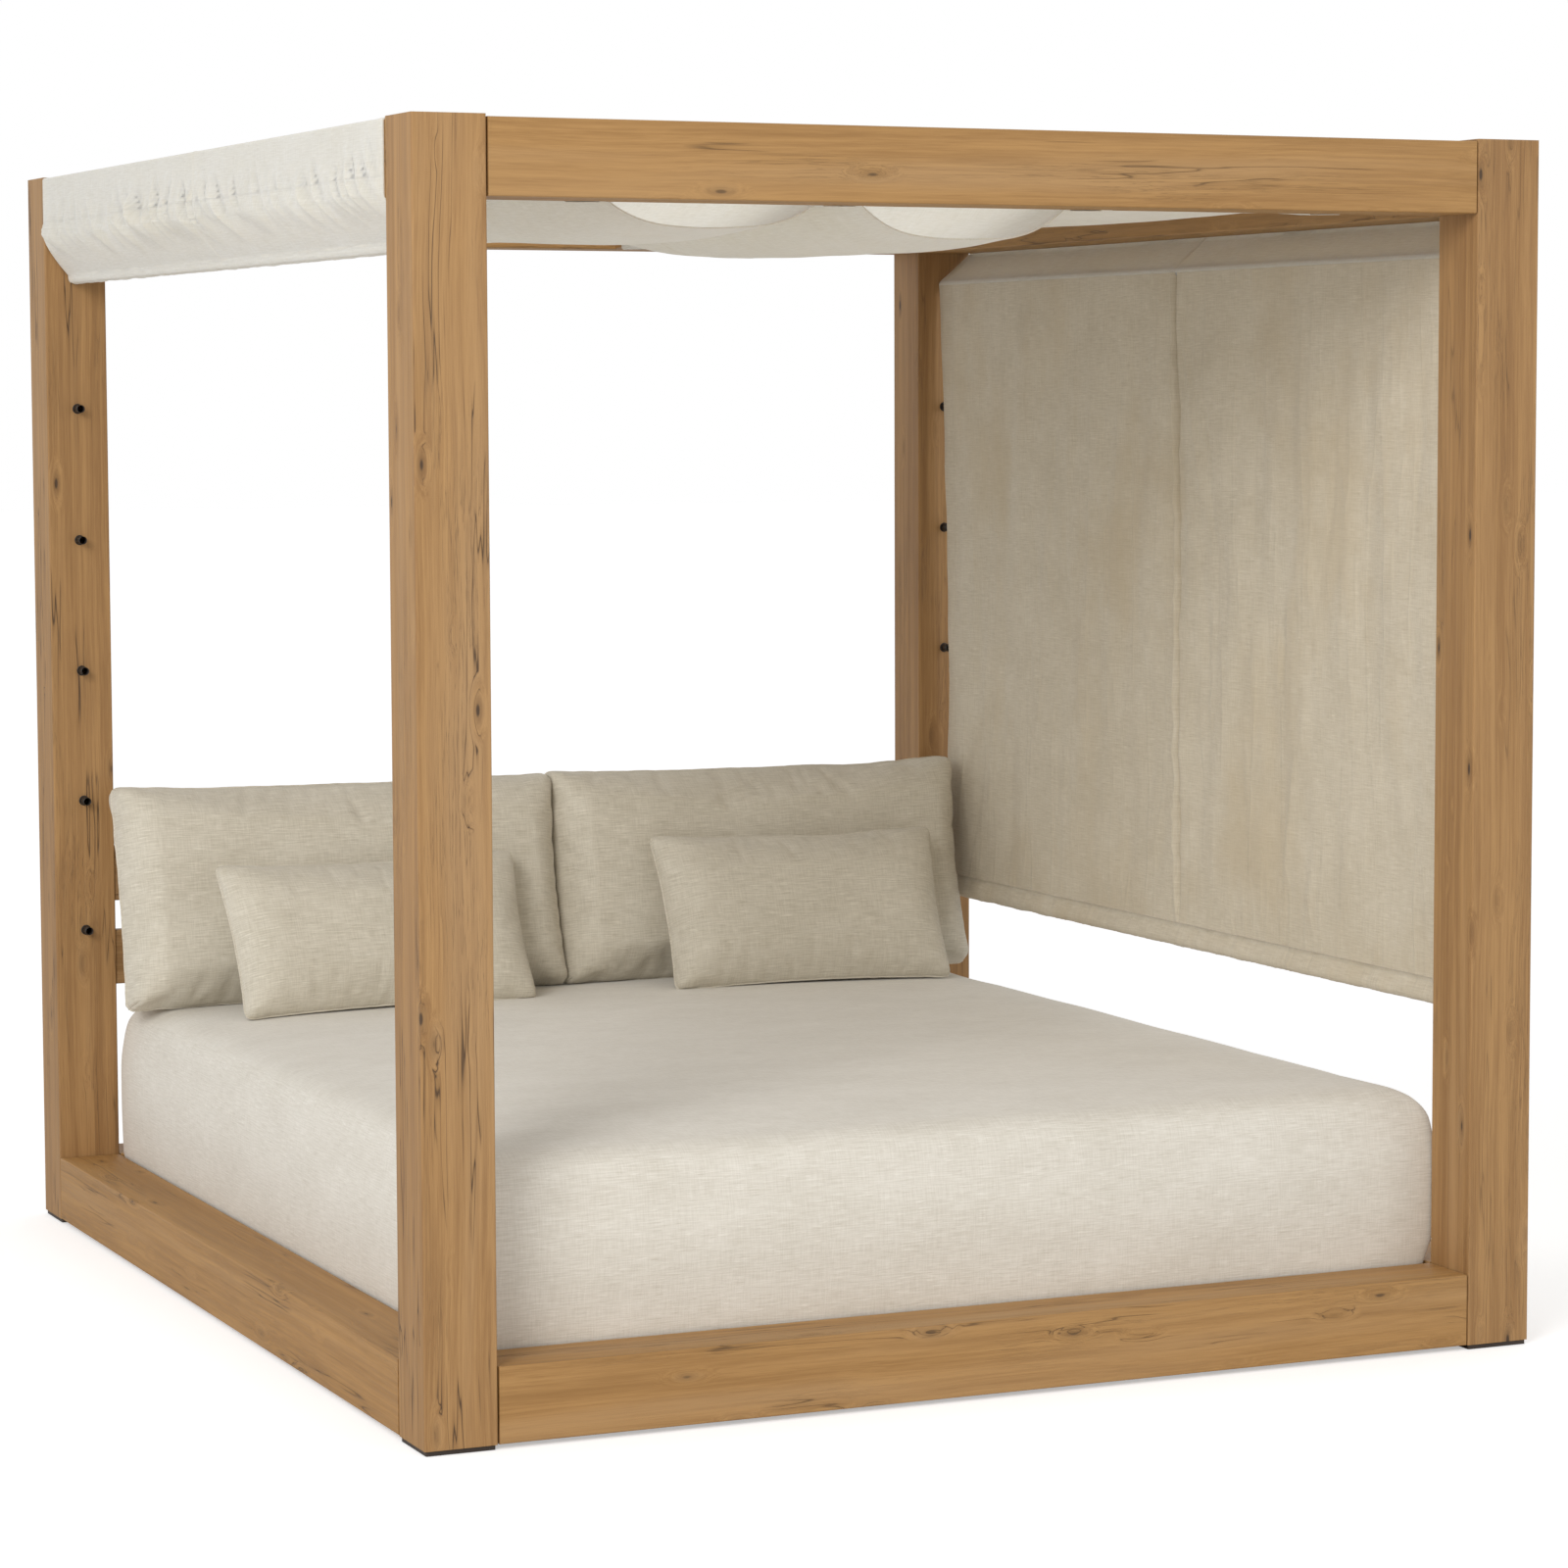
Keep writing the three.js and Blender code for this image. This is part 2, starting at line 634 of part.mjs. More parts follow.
// Cloth laid through a grid of points: thickness is set off half to each side along the surface's normal
function clothSheet(grid) {
  const rows = grid.length;
  const columns = grid[0].length;
  const clamp = THREE.MathUtils.clamp;
  const at = (row, column) => grid[clamp(row, 0, rows - 1)][clamp(column, 0, columns - 1)];
  const positions = [];
  for (const face of [1, -1]) {
    for (let row = 0; row < rows; row += 1) {
      for (let column = 0; column < columns; column += 1) {
        const down = at(row + 1, column).clone().sub(at(row - 1, column));
        const across = at(row, column + 1).clone().sub(at(row, column - 1));
        const normal = down.cross(across).setLength((face * clothThickness) / 2);
        positions.push(...grid[row][column].clone().add(normal).toArray());
      }
    }
  }
  const id = (face, row, column) => face * rows * columns + row * columns + column;
  const index = [];
  const quad = (a, b, c, d) => index.push(a, b, c, a, c, d);
  for (let row = 0; row < rows - 1; row += 1) {
    for (let column = 0; column < columns - 1; column += 1) {
      quad(id(0, row, column), id(0, row + 1, column), id(0, row + 1, column + 1), id(0, row, column + 1));
      quad(id(1, row, column), id(1, row, column + 1), id(1, row + 1, column + 1), id(1, row + 1, column));
    }
    const last = columns - 1;
    quad(id(0, row, 0), id(1, row, 0), id(1, row + 1, 0), id(0, row + 1, 0));
    quad(id(0, row, last), id(0, row + 1, last), id(1, row + 1, last), id(1, row, last));
  }
  for (let column = 0; column < columns - 1; column += 1) {
    const last = rows - 1;
    quad(id(0, 0, column), id(0, 0, column + 1), id(1, 0, column + 1), id(1, 0, column));
    quad(id(0, last, column), id(1, last, column), id(1, last, column + 1), id(0, last, column + 1));
  }
  const geometry = new THREE.BufferGeometry();
  geometry.setAttribute('position', new THREE.Float32BufferAttribute(positions, 3));
  geometry.setIndex(index);
  geometry.computeVertexNormals();
  return geometry;
}

// The canopy's line across the frame, from the left beam's lower outer edge to the guide bar.
// A swag has a sag at the front hem and another at the back, and between the laths it takes up their bow.
const clothTop = topBeamTop + clothOffset;
const clothOnLath = lathTop + clothOffset;
const clothSide = frameWidth / 2 + clothOffset;
const line = [];
const taut = { front: 0, back: 0, bow: 0 };
const mark = (x, z, sags = taut, fullness = 0) => line.push({ x, z, sags, fullness });

function turn(centreX, centreZ, from, to) {
  for (let step = 0; step <= cornerSteps + 1; step += 1) {
    const angle = from + ((to - from) * step) / (cornerSteps + 1);
    mark(centreX + clothBend * Math.cos(angle), centreZ + clothBend * Math.sin(angle));
  }
}

function swag(fromX, fromZ, toX, toZ, sags) {
  for (let step = 1; step < swagSteps; step += 1) {
    const share = step / swagSteps;
    const fullness = 1 - Math.abs(2 * share - 1) ** swagPower;
    mark(fromX + (toX - fromX) * share, fromZ + (toZ - fromZ) * share, sags, fullness);
  }
}

mark(-clothSide, topBeamBottom + fitGap);
turn(-clothSide + clothBend, clothTop - clothBend, Math.PI, Math.PI / 2);
mark(-innerX, clothTop);
const endBay = { front: endBaySag, back: endBaySag, bow: 0 };
swag(-innerX, clothTop, lathPlaces[0] - lathWidth / 2, clothOnLath, endBay);
lathPlaces.forEach((x, index) => {
  mark(x - lathWidth / 2, clothOnLath);
  mark(x + lathWidth / 2, clothOnLath);
  const next = lathPlaces[index + 1];
  if (next !== undefined) {
    const front = frontSwagSags[index % frontSwagSags.length];
    const back = backSwagSags[index % backSwagSags.length];
    swag(x + lathWidth / 2, clothOnLath, next - lathWidth / 2, clothOnLath, { front, back, bow: 1 });
  }
});
swag(lathPlaces[lathCount - 1] + lathWidth / 2, clothOnLath, innerX, clothTop, endBay);
mark(innerX, clothTop);
turn(clothSide - clothBend, clothTop - clothBend, Math.PI / 2, 0);
mark(clothSide, topBeamBottom - clothOffset);
const guideReach = barRadius + clothOffset;
const guideZ = holeHeight(guideHoleIndex);
const leaveX = clothSide - postX;
const leaveZ = topBeamBottom - clothOffset - guideZ;
const touch = Math.atan2(leaveZ, leaveX) + Math.acos(guideReach / Math.hypot(leaveX, leaveZ));
for (let step = 0; step <= guideSteps; step += 1) {
  const angle = touch + ((Math.PI - touch) * step) / guideSteps;
  mark(postX + guideReach * Math.cos(angle), guideZ + guideReach * Math.sin(angle));
}

const canopyGrid = line.map((place) => {
  const row = [];
  const inside = Math.max(0, 1 - Math.abs(place.x / innerX) ** narrowingPower);
  const reach = clothReach - hemNarrowing * inside;
  const lift = Math.min(1, Math.max(0, innerX - Math.abs(place.x)) / (lathEndBay - lathWidth / 2));
  for (let column = 0; column < clothColumns; column += 1) {
    const share = (2 * column) / (clothColumns - 1) - 1;
    const bow = lathBow(share * reach);
    const ease = THREE.MathUtils.smoothstep((share + 1) / 2, swagEaseShares.from, swagEaseShares.to);
    const sag = THREE.MathUtils.lerp(place.sags.front, place.sags.back, ease) + place.sags.bow * bow;
    row.push(new THREE.Vector3(place.x, share * reach, place.z + lift * bow - place.fullness * sag));
  }
  return row;
});
add('canopy_cloth', clothSheet(canopyGrid), materials.canvas);

// Right curtain, from the guide bar down to its hem, with soft upright folds
const curtainTop = guideZ - fitGap;
const curtainFoot = hems[1].height + sleeveTip + seamGap;
const curtainGrid = [];
for (let row = 0; row <= curtainRows; row += 1) {
  const share = row / curtainRows;
  const swing = Math.sin(Math.PI * share);
  const points = [];
  for (let column = 0; column <= curtainColumns; column += 1) {
    const y = clothReach * ((2 * column) / curtainColumns - 1);
    let x = postX - guideReach * (1 - share);
    for (const fold of curtainFolds) {
      x += swing * fold.depth * Math.sin((Math.PI * fold.waves * y) / clothReach + fold.phase);
    }
    points.push(new THREE.Vector3(x, y, curtainTop + (curtainFoot - curtainTop) * share));
  }
  curtainGrid.push(points);
}
add('curtain_right', clothSheet(curtainGrid), materials.canvas);
const rightSleeve = makeSleeve(Math.PI / 2);
add('hem_sleeve_right', rightSleeve, materials.canvas, [postX, 0, hems[1].height]);

// Left drop, from the beam's lower outer edge to the left hem
const dropTop = new THREE.Vector2(-clothSide, topBeamBottom - clothThickness / 2);
const dropAngle = Math.atan2(dropTop.y - hems[0].height, dropTop.x + postX);
const dropFoot = new THREE.Vector2(sleeveTip + seamGap, 0).rotateAround(new THREE.Vector2(), dropAngle);
dropFoot.add(new THREE.Vector2(-postX, hems[0].height));
const dropGrid = [];
for (let row = 0; row <= dropRows; row += 1) {
  const place = dropTop.clone().lerp(dropFoot, row / dropRows);
  const points = [];
  for (let column = 0; column < clothColumns; column += 1) {
    const y = clothReach * ((2 * column) / (clothColumns - 1) - 1);
    points.push(new THREE.Vector3(place.x, y, place.y));
  }
  dropGrid.push(points);
}
add('drop_left', clothSheet(dropGrid), materials.canvas);
add('hem_sleeve_left', makeSleeve(dropAngle), materials.canvas, [-postX, 0, hems[0].height]);

export default daybed;
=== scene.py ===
"""Outdoor daybed with canopy: its looks, built round the packed solids, with a panel in the 3D sidebar."""

import functools
import json
import math

import bpy
import numpy as np
from mathutils import Matrix, Vector, noise
from mathutils.bvhtree import BVHTree


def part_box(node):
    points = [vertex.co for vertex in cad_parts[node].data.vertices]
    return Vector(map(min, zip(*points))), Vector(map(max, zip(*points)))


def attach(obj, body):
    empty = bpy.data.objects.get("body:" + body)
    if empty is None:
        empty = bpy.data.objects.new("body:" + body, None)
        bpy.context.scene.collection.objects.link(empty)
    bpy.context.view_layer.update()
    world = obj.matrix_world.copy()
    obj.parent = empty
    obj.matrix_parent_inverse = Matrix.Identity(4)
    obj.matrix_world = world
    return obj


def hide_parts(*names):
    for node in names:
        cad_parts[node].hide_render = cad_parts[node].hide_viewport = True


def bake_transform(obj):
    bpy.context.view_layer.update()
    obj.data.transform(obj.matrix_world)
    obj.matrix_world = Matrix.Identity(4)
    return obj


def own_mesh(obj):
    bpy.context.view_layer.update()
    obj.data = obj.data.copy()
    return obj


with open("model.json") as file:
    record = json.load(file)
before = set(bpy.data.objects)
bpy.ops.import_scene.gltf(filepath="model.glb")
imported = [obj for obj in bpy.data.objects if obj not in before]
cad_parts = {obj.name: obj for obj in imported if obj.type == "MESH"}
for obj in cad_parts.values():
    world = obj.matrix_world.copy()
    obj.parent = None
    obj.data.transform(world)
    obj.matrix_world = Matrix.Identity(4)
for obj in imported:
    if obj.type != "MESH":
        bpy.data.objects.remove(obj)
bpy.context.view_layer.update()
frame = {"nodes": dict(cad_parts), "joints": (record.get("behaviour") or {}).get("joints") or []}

bl_info = {
    "name": "Outdoor Daybed",
    "version": (1, 0, 0),
    "blender": (4, 5, 0),
    "location": "View3D > Sidebar > Daybed",
    "description": "Dresses the daybed's solids with timber, cushions and cloth",
    "category": "Object",
}

SIDES = {"left": -1.0, "right": 1.0}
ENDS = {"front": -1.0, "back": 1.0}

# Sizes in metres that several pieces share
CLOTH_GAP = 0.0006  # between the cloth and what it lies on
EDGE_ROUND = 0.003  # radius of the timber's edges
SIDE_HEM = 0.022  # width of the cloth's turned side hems
SWAG_STEPS = 24
POCKET_COLUMNS = 110
HOLES = 6  # in each post
SEATED = 0.0012  # a pad's seam above what it lies on
SEAT_DEPTH = 0.08  # height of the part of a pad that may touch what it lies on
SINK = 0.004  # how far a pad's lowest point settles into what it lies on
SEAM_STITCH = 0.0055  # from the cloth's seam to the stitches beside it
HEM_STITCH = 0.0255  # from a hem's bar to the hem's stitches
SPLIT = 0.035  # height above the left beam's foot at which the drop begins


# Mesh helpers


def mesh_piece(name, points, faces, smooth=True):
    """Makes a mesh object at the origin from points in metres and faces."""
    mesh = bpy.data.meshes.new(name)
    mesh.from_pydata([tuple(point) for point in points], [], [tuple(face) for face in faces])
    mesh.validate()
    piece = bpy.data.objects.new(name, mesh)
    bpy.context.scene.collection.objects.link(piece)
    mesh.polygons.foreach_set("use_smooth", [smooth] * len(mesh.polygons))
    return piece


def get_points(mesh):
    """A mesh's vertices as an array of rows."""
    flat = np.empty(len(mesh.vertices) * 3)
    mesh.vertices.foreach_get("co", flat)
    return flat.reshape(-1, 3)


def set_points(mesh, points):
    """Moves a mesh's vertices to the rows of an array."""
    mesh.vertices.foreach_set("co", np.asarray(points, float).ravel())
    mesh.update()


def set_weave(mesh, coordinates):
    """Lays a mesh's fabric coordinates, in metres along its threads, into its UV map."""
    layer = mesh.uv_layers.new(name="weave")
    loops = np.empty(len(mesh.loops), int)
    mesh.loops.foreach_get("vertex_index", loops)
    layer.data.foreach_set("uv", np.asarray(coordinates, float)[loops].ravel())


def apply_modifiers(piece):
    """Replaces a piece's mesh by the one its modifiers make."""
    evaluated = piece.evaluated_get(bpy.context.evaluated_depsgraph_get())
    mesh = bpy.data.meshes.new_from_object(evaluated)
    piece.modifiers.clear()
    old = piece.data
    piece.data = mesh
    bpy.data.meshes.remove(old)
    mesh.name = piece.name


def subdivide(piece):
    """Rounds a piece by one step of subdivision and applies it."""
    modifier = piece.modifiers.new("Subdivision", "SUBSURF")
    modifier.levels = modifier.render_levels = 1
    apply_modifiers(piece)


def surface_of(piece):
    """A tree for finding the nearest or struck point of a piece's surface."""
    mesh = piece.data
    return BVHTree.FromPolygons([v.co for v in mesh.vertices], [p.vertices for p in mesh.polygons])


def bar_line(node):
    """A level bar's place across and up, and its radius."""
    low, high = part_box(node)
    return (low.x + high.x) / 2, (low.z + high.z) / 2, (high.z - low.z) / 2


def clamp(value):
    """A value held between 0 and 1."""
    return min(1.0, max(0.0, value))


def ripple(x, y, scale, seed):
    """Smooth noise from -1 to 1 at a place in metres, with features about one scale wide."""
    return noise.noise(Vector((x / scale, y / scale, seed)))


# Materials


HAIRLINE = (0.095, 0.050, 0.022, 1.0)
CRACK = (0.060, 0.031, 0.014, 1.0)
KNOT = (0.040, 0.022, 0.012, 1.0)


class Value:
    """A node socket, with arithmetic that adds Math nodes to its tree."""

    def __init__(self, shader, socket):
        self.shader = shader
        self.socket = socket

    def math(self, operation, *others):
        """Feeds this value and the others to one Math node."""
        inputs = dict(enumerate((self,) + others))
        return self.shader.node("ShaderNodeMath", inputs, operation=operation)

    def __add__(self, other):
        return self.math("ADD", other)

    def __radd__(self, other):
        return self.math("ADD", other)

    def __sub__(self, other):
        return self.math("SUBTRACT", other)

    def __rsub__(self, other):
        return (self * -1.0).math("ADD", other)

    def __mul__(self, other):
        return self.math("MULTIPLY", other)

    def __rmul__(self, other):
        return self.math("MULTIPLY", other)

    def __abs__(self):
        return self.math("ABSOLUTE")

    def span(self, low, high, to_low=0.0, to_high=1.0):
        """Maps this value's range from low to high smoothly on to another range."""
        inputs = {"Value": self, "From Min": low, "From Max": high, "To Min": to_low, "To Max": to_high}
        return self.shader.node("ShaderNodeMapRange", inputs, interpolation_type="SMOOTHSTEP")


class Shader:
    """Builds one material's nodes."""

    def __init__(self, name):
        self.material = bpy.data.materials.new(name)
        self.material.use_nodes = True
        self.tree = self.material.node_tree
        self.surface = self.tree.nodes["Principled BSDF"]

    def node(self, kind, inputs=None, output=0, **settings):
        """Adds a node with its settings and inputs, and returns one of its outputs."""
        made = self.tree.nodes.new(kind)
        for key, value in settings.items():
            setattr(made, key, value)
        for key, value in (inputs or {}).items():
            self.feed(made.inputs[key], value)
        return Value(self, made.outputs[output])

    def feed(self, socket, value):
        """Links a value to a socket, or sets the socket's own number."""
        if isinstance(value, Value):
            self.tree.links.new(value.socket, socket)
        else:
            socket.default_value = value

    def set(self, **inputs):
        """Feeds the surface shader's sockets, named with underscores for spaces."""
        for key, value in inputs.items():
            self.feed(self.surface.inputs[key.replace("_", " ")], value)

    def split(self, vector):
        """The three parts of a vector."""
        parts = self.node("ShaderNodeSeparateXYZ", {0: vector})
        return [Value(self, socket) for socket in parts.socket.node.outputs]

    def join(self, x, y, z):
        """A vector from three parts."""
        return self.node("ShaderNodeCombineXYZ", {0: x, 1: y, 2: z})

    def noise(self, vector, scale, detail=2.0, roughness=0.5):
        """Smooth noise from 0 to 1."""
        inputs = {"Vector": vector, "Scale": scale, "Detail": detail, "Roughness": roughness}
        return self.node("ShaderNodeTexNoise", inputs)

    def grain(self, x, y, z, detail, roughness=0.5):
        """Smooth noise from 0 to 1 at a place given by its three parts."""
        return self.noise(self.join(x, y, z), 1.0, detail, roughness)

    def cells(self, vector, scale):
        """Distance to the nearest of scattered points, in cells."""
        return self.node("ShaderNodeTexVoronoi", {"Vector": vector, "Scale": scale})

    def blend(self, share, first, second):
        """A colour between two others."""
        made = self.tree.nodes.new("ShaderNodeMix")
        made.data_type = "RGBA"
        for index, value in ((0, share), (6, first), (7, second)):
            self.feed(made.inputs[index], value)
        return Value(self, made.outputs[2])

    def bump(self, height, distance, strength=1.0):
        """A normal from a height in metres' share of a distance."""
        inputs = {"Height": height, "Distance": distance, "Strength": strength}
        return self.node("ShaderNodeBump", inputs)


def tinted(colour, *shares):
    """A colour with each of its parts scaled."""
    return tuple(part * share for part, share in zip(colour, shares)) + (1.0,)


def timber_material(name, axis, light, dark, cracked):
    """Oiled, weathered wood whose grain runs along one axis, with pores, drying cracks and small knots."""
    shader = Shader(name)
    place = shader.node("ShaderNodeTexCoord", output=3)
    parts = shader.split(place)
    along = parts.pop("xyz".index(axis))
    across, deep = parts
    sway = shader.grain(along * 1.3, across * 3.0, deep * 3.0, 2.0) - 0.5
    knots = shader.cells(shader.join(along * 4.6, across * 15.0, deep * 15.0), 1.0)
    around = knots.span(0.02, 0.30, 0.020, 0.0)
    side = across + sway * 0.035 + around
    depth = deep + sway * 0.025 + around
    pores = shader.grain(along * 16.0, side * 560.0, depth * 560.0, 2.0, 0.6)
    fine = shader.grain(along * 3.0, side * 190.0, depth * 190.0, 3.0, 0.65)
    streak = shader.grain(along * 0.9, side * 52.0, depth * 52.0, 3.0, 0.6)
    broad = shader.grain(along * 0.6, side * 9.0, depth * 9.0, 2.0)
    line = abs(shader.grain(along * 2.4, side * 62.0, depth * 62.0, 1.6, 0.55) - 0.5)
    patch = shader.grain(along * 2.6, across * 20.0, deep * 20.0, 1.0)
    wide = shader.grain(along * 1.9, across * 14.0, deep * 14.0, 1.0)
    rift = patch.span(0.60 - 0.06 * cracked, 0.69 - 0.06 * cracked)
    if axis == "z":
        rift = rift * across.span(-0.6, 0.6, 1.0, 0.35)
    crack = line.span(0.001, 0.014, 1.0, 0.0) * rift
    shade = line.span(0.0, 0.055, 1.0, 0.0) * rift
    hair = abs(fine - 0.5).span(0.0, 0.022, 1.0, 0.0) * wide.span(0.50, 0.66)
    core = knots.span(0.030, 0.062, 1.0, 0.0)
    halo = knots.span(0.04, 0.17, 1.0, 0.0)
    tone = (pores - 0.5) * 0.5 + (fine - 0.5) * 0.9 + (streak - 0.5) * 1.1 + (broad - 0.5) * 0.8 + 0.5
    mean = 0.38 * sum(light[:3]) / 3
    grey = tuple(0.62 * part + mean * tint for part, tint in zip(light, (1.0, 0.95, 0.85))) + (1.0,)
    colour = shader.blend(tone.span(0.05, 0.95), dark, light)
    colour = shader.blend(broad.span(0.50, 0.75) * 0.30, colour, grey)
    colour = shader.blend(shade * (0.25 + 0.20 * cracked), colour, tinted(dark, 0.50, 0.50, 0.50))
    colour = shader.blend(halo * (0.25 + 0.25 * cracked), colour, tinted(dark, 0.55, 0.55, 0.55))
    colour = shader.blend(hair * (0.15 + 0.30 * cracked), colour, HAIRLINE)
    colour = shader.blend(crack * (0.35 + 0.50 * cracked), colour, CRACK)
    colour = shader.blend(core * (0.50 + 0.35 * cracked), colour, KNOT)
    height = pores * 0.25 + fine * 0.3 + streak * 0.3 - crack * 1.7 - hair * 0.6 - core * 0.6
    shader.set(Base_Color=colour, Roughness=fine.span(0.2, 0.8, 0.50, 0.66), Specular_IOR_Level=0.42,
               Normal=shader.bump(height, 0.0012, 0.5))
    return shader.material


def fabric_material(name, pale, deep, streaks, bump, sheen, worn=0.0, through=0.0):
    """Heathered weave that follows the piece's own threads, with slubs, a soft mottle, creases and stains."""
    shader = Shader(name)
    weave = shader.node("ShaderNodeUVMap", uv_map="weave")
    u, v, _ = shader.split(weave)
    weft = shader.grain(u * 22.0, v * 420.0, 0.0, 3.0, 0.65)
    warp = shader.grain(u * 420.0, v * 26.0, 3.0, 2.0, 0.6)
    slub = shader.grain(u * 34.0, v * 250.0, 7.0, 1.0)
    mottle = shader.grain(u * 5.0, v * 9.0, 11.0, 3.0, 0.6)
    thread = shader.grain(u * 900.0, v * 900.0, 5.0, 1.0)
    tone = (weft - 0.5) * (1.25 * streaks) + (warp - 0.5) * 0.6 + (mottle - 0.5) * 0.5 + 0.5
    tone = tone + slub.span(0.62, 0.78) * (0.30 * streaks) - slub.span(0.36, 0.24) * (0.25 * streaks)
    colour = shader.blend(tone.span(0.0, 1.0), deep, pale)
    height = weft * 0.5 + warp * 0.35 + slub * 0.4 + thread * 0.4
    if worn:
        stain = shader.grain(u * 2.6, v * 1.5, 17.0, 4.0, 0.6).span(0.46, 0.68)
        stripe = shader.grain(u * 13.0, v * 1.3, 21.0, 3.0, 0.6)
        crease = abs(shader.grain(u * 11.0, v * 1.6, 25.0, 2.0, 0.5) - 0.5).span(0.0, 0.05, 1.0, 0.0)
        colour = shader.blend(stain * (0.45 * worn), colour, tinted(deep, 1.02, 0.94, 0.80))
        colour = shader.blend(stripe.span(0.45, 0.72) * (0.16 * worn), colour, deep)
        height = height + crease * 1.6 * worn + stripe * 1.2 * worn
    if through:
        shader.set(Subsurface_Weight=through, Subsurface_Radius=(1.0, 0.93, 0.80), Subsurface_Scale=0.006)
    shader.set(Base_Color=colour, Roughness=0.92, Specular_IOR_Level=0.2, Sheen_Weight=sheen,
               Sheen_Roughness=0.6, Normal=shader.bump(height, 0.0012, bump))
    return shader.material


def steel_material(name, colour, roughness):
    """Brushed steel with fine turned marks."""
    shader = Shader(name)
    place = shader.node("ShaderNodeTexCoord", output=3)
    x, y, z = shader.split(place)
    brush = shader.grain(x * 60.0, y * 900.0, z * 60.0, 3.0)
    cloud = shader.noise(place, 14.0, 3.0)
    pale = tinted(colour, 1.15, 1.15, 1.15)
    shader.set(Base_Color=shader.blend(cloud.span(0.3, 0.7), colour, pale), Metallic=1.0,
               Roughness=brush.span(0.2, 0.8, roughness - 0.06, roughness + 0.1),
               Normal=shader.bump(brush, 0.0002, 0.3))
    return shader.material


def plastic_material(name, colour, roughness):
    """Matt plastic with a fine moulded grain."""
    shader = Shader(name)
    place = shader.node("ShaderNodeTexCoord", output=3)
    grain = shader.noise(place, 700.0, 2.0)
    dust = shader.noise(place, 9.0, 3.0)
    worn = tuple(part * 1.5 + 0.01 for part in colour[:3]) + (1.0,)
    shader.set(Base_Color=shader.blend(dust.span(0.45, 0.8), colour, worn),
               Roughness=grain.span(0.2, 0.8, roughness - 0.05, roughness + 0.08),
               Normal=shader.bump(grain, 0.0003, 0.3))
    return shader.material


def dress(piece, material):
    """Gives a piece one material all over."""
    piece.data.materials.clear()
    piece.data.materials.append(material)


def finish_piece(piece, body, slot, material, *nodes):
    """Dresses a new piece, lets it ride on a body, if one is given, and stand for its solids."""
    dress(piece, material)
    if body:
        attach(piece, body)
    if nodes:
        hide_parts(*nodes)


# Stitches, rings and screw heads


def group_with(name, sockets):
    """Starts a node group with a geometry input and output and the named inputs between them."""
    group = bpy.data.node_groups.new(name, "GeometryNodeTree")
    group.interface.new_socket("Geometry", in_out="INPUT", socket_type="NodeSocketGeometry")
    for label, kind in sockets:
        group.interface.new_socket(label, in_out="INPUT", socket_type=kind)
    group.interface.new_socket("Geometry", in_out="OUTPUT", socket_type="NodeSocketGeometry")
    return group


def wire(group, kind, inputs=None, **settings):
    """Adds a node to a group, with its settings, and with its inputs set or linked."""
    made = group.nodes.new(kind)
    for key, value in settings.items():
        setattr(made, key, value)
    for key, value in (inputs or {}).items():
        if isinstance(value, bpy.types.NodeSocket):
            group.links.new(value, made.inputs[key])
        else:
            made.inputs[key].default_value = value
    return made


def close_group(group, start, points, shape, direction, material, **inputs):
    """Ends a group: a shape stands on each point along its direction, becomes real and takes the material."""
    turn = wire(group, "FunctionNodeAlignRotationToVector", {"Vector": direction}, axis="Z")
    placed = wire(group, "GeometryNodeInstanceOnPoints", {
        "Points": points, "Instance": shape, "Rotation": turn.outputs[0], **inputs})
    real = wire(group, "GeometryNodeRealizeInstances", {0: placed.outputs[0]})
    dressed = wire(group, "GeometryNodeSetMaterial",
                   {"Geometry": real.outputs[0], "Material": start.outputs[material]})
    end = group.nodes.new("NodeGroupOutput")
    group.links.new(dressed.outputs[0], end.inputs[0])
    return group


def stitch_group():
    """Stitches of one length at an even pitch along the edges of a mesh line."""
    group = group_with("Stitch Line", [
        ("Pitch", "NodeSocketFloat"), ("Size", "NodeSocketVector"), ("Thread", "NodeSocketMaterial")])
    start = group.nodes.new("NodeGroupInput")
    curve = wire(group, "GeometryNodeMeshToCurve", {"Mesh": start.outputs["Geometry"]})
    even = wire(group, "GeometryNodeResampleCurve",
                {"Curve": curve.outputs[0], "Length": start.outputs["Pitch"]}, mode="LENGTH")
    stitch = wire(group, "GeometryNodeMeshUVSphere", {"Segments": 6, "Rings": 4, "Radius": 0.5})
    tangent = wire(group, "GeometryNodeInputTangent")
    return close_group(group, start, even.outputs[0], stitch.outputs[0], tangent.outputs[0], "Thread",
                       Scale=start.outputs["Size"])


def ring_group():
    """A turned ring or button on each point of a mesh, facing along that point's own direction."""
    group = group_with("Turned Rings", [
        ("Bore", "NodeSocketFloat"), ("Rim", "NodeSocketFloat"), ("Depth", "NodeSocketFloat"),
        ("Finish", "NodeSocketMaterial")])
    start = group.nodes.new("NodeGroupInput")
    path = wire(group, "GeometryNodeCurvePrimitiveCircle",
                {"Resolution": 28, "Radius": start.outputs["Bore"]})
    profile = wire(group, "GeometryNodeCurvePrimitiveQuadrilateral",
                   {"Width": start.outputs["Rim"], "Height": start.outputs["Depth"]})
    ring = wire(group, "GeometryNodeCurveToMesh",
                {"Curve": path.outputs[0], "Profile Curve": profile.outputs[0]})
    facing = wire(group, "GeometryNodeInputNamedAttribute", {"Name": "facing"}, data_type="FLOAT_VECTOR")
    return close_group(group, start, start.outputs["Geometry"], ring.outputs[0], facing.outputs[0], "Finish")


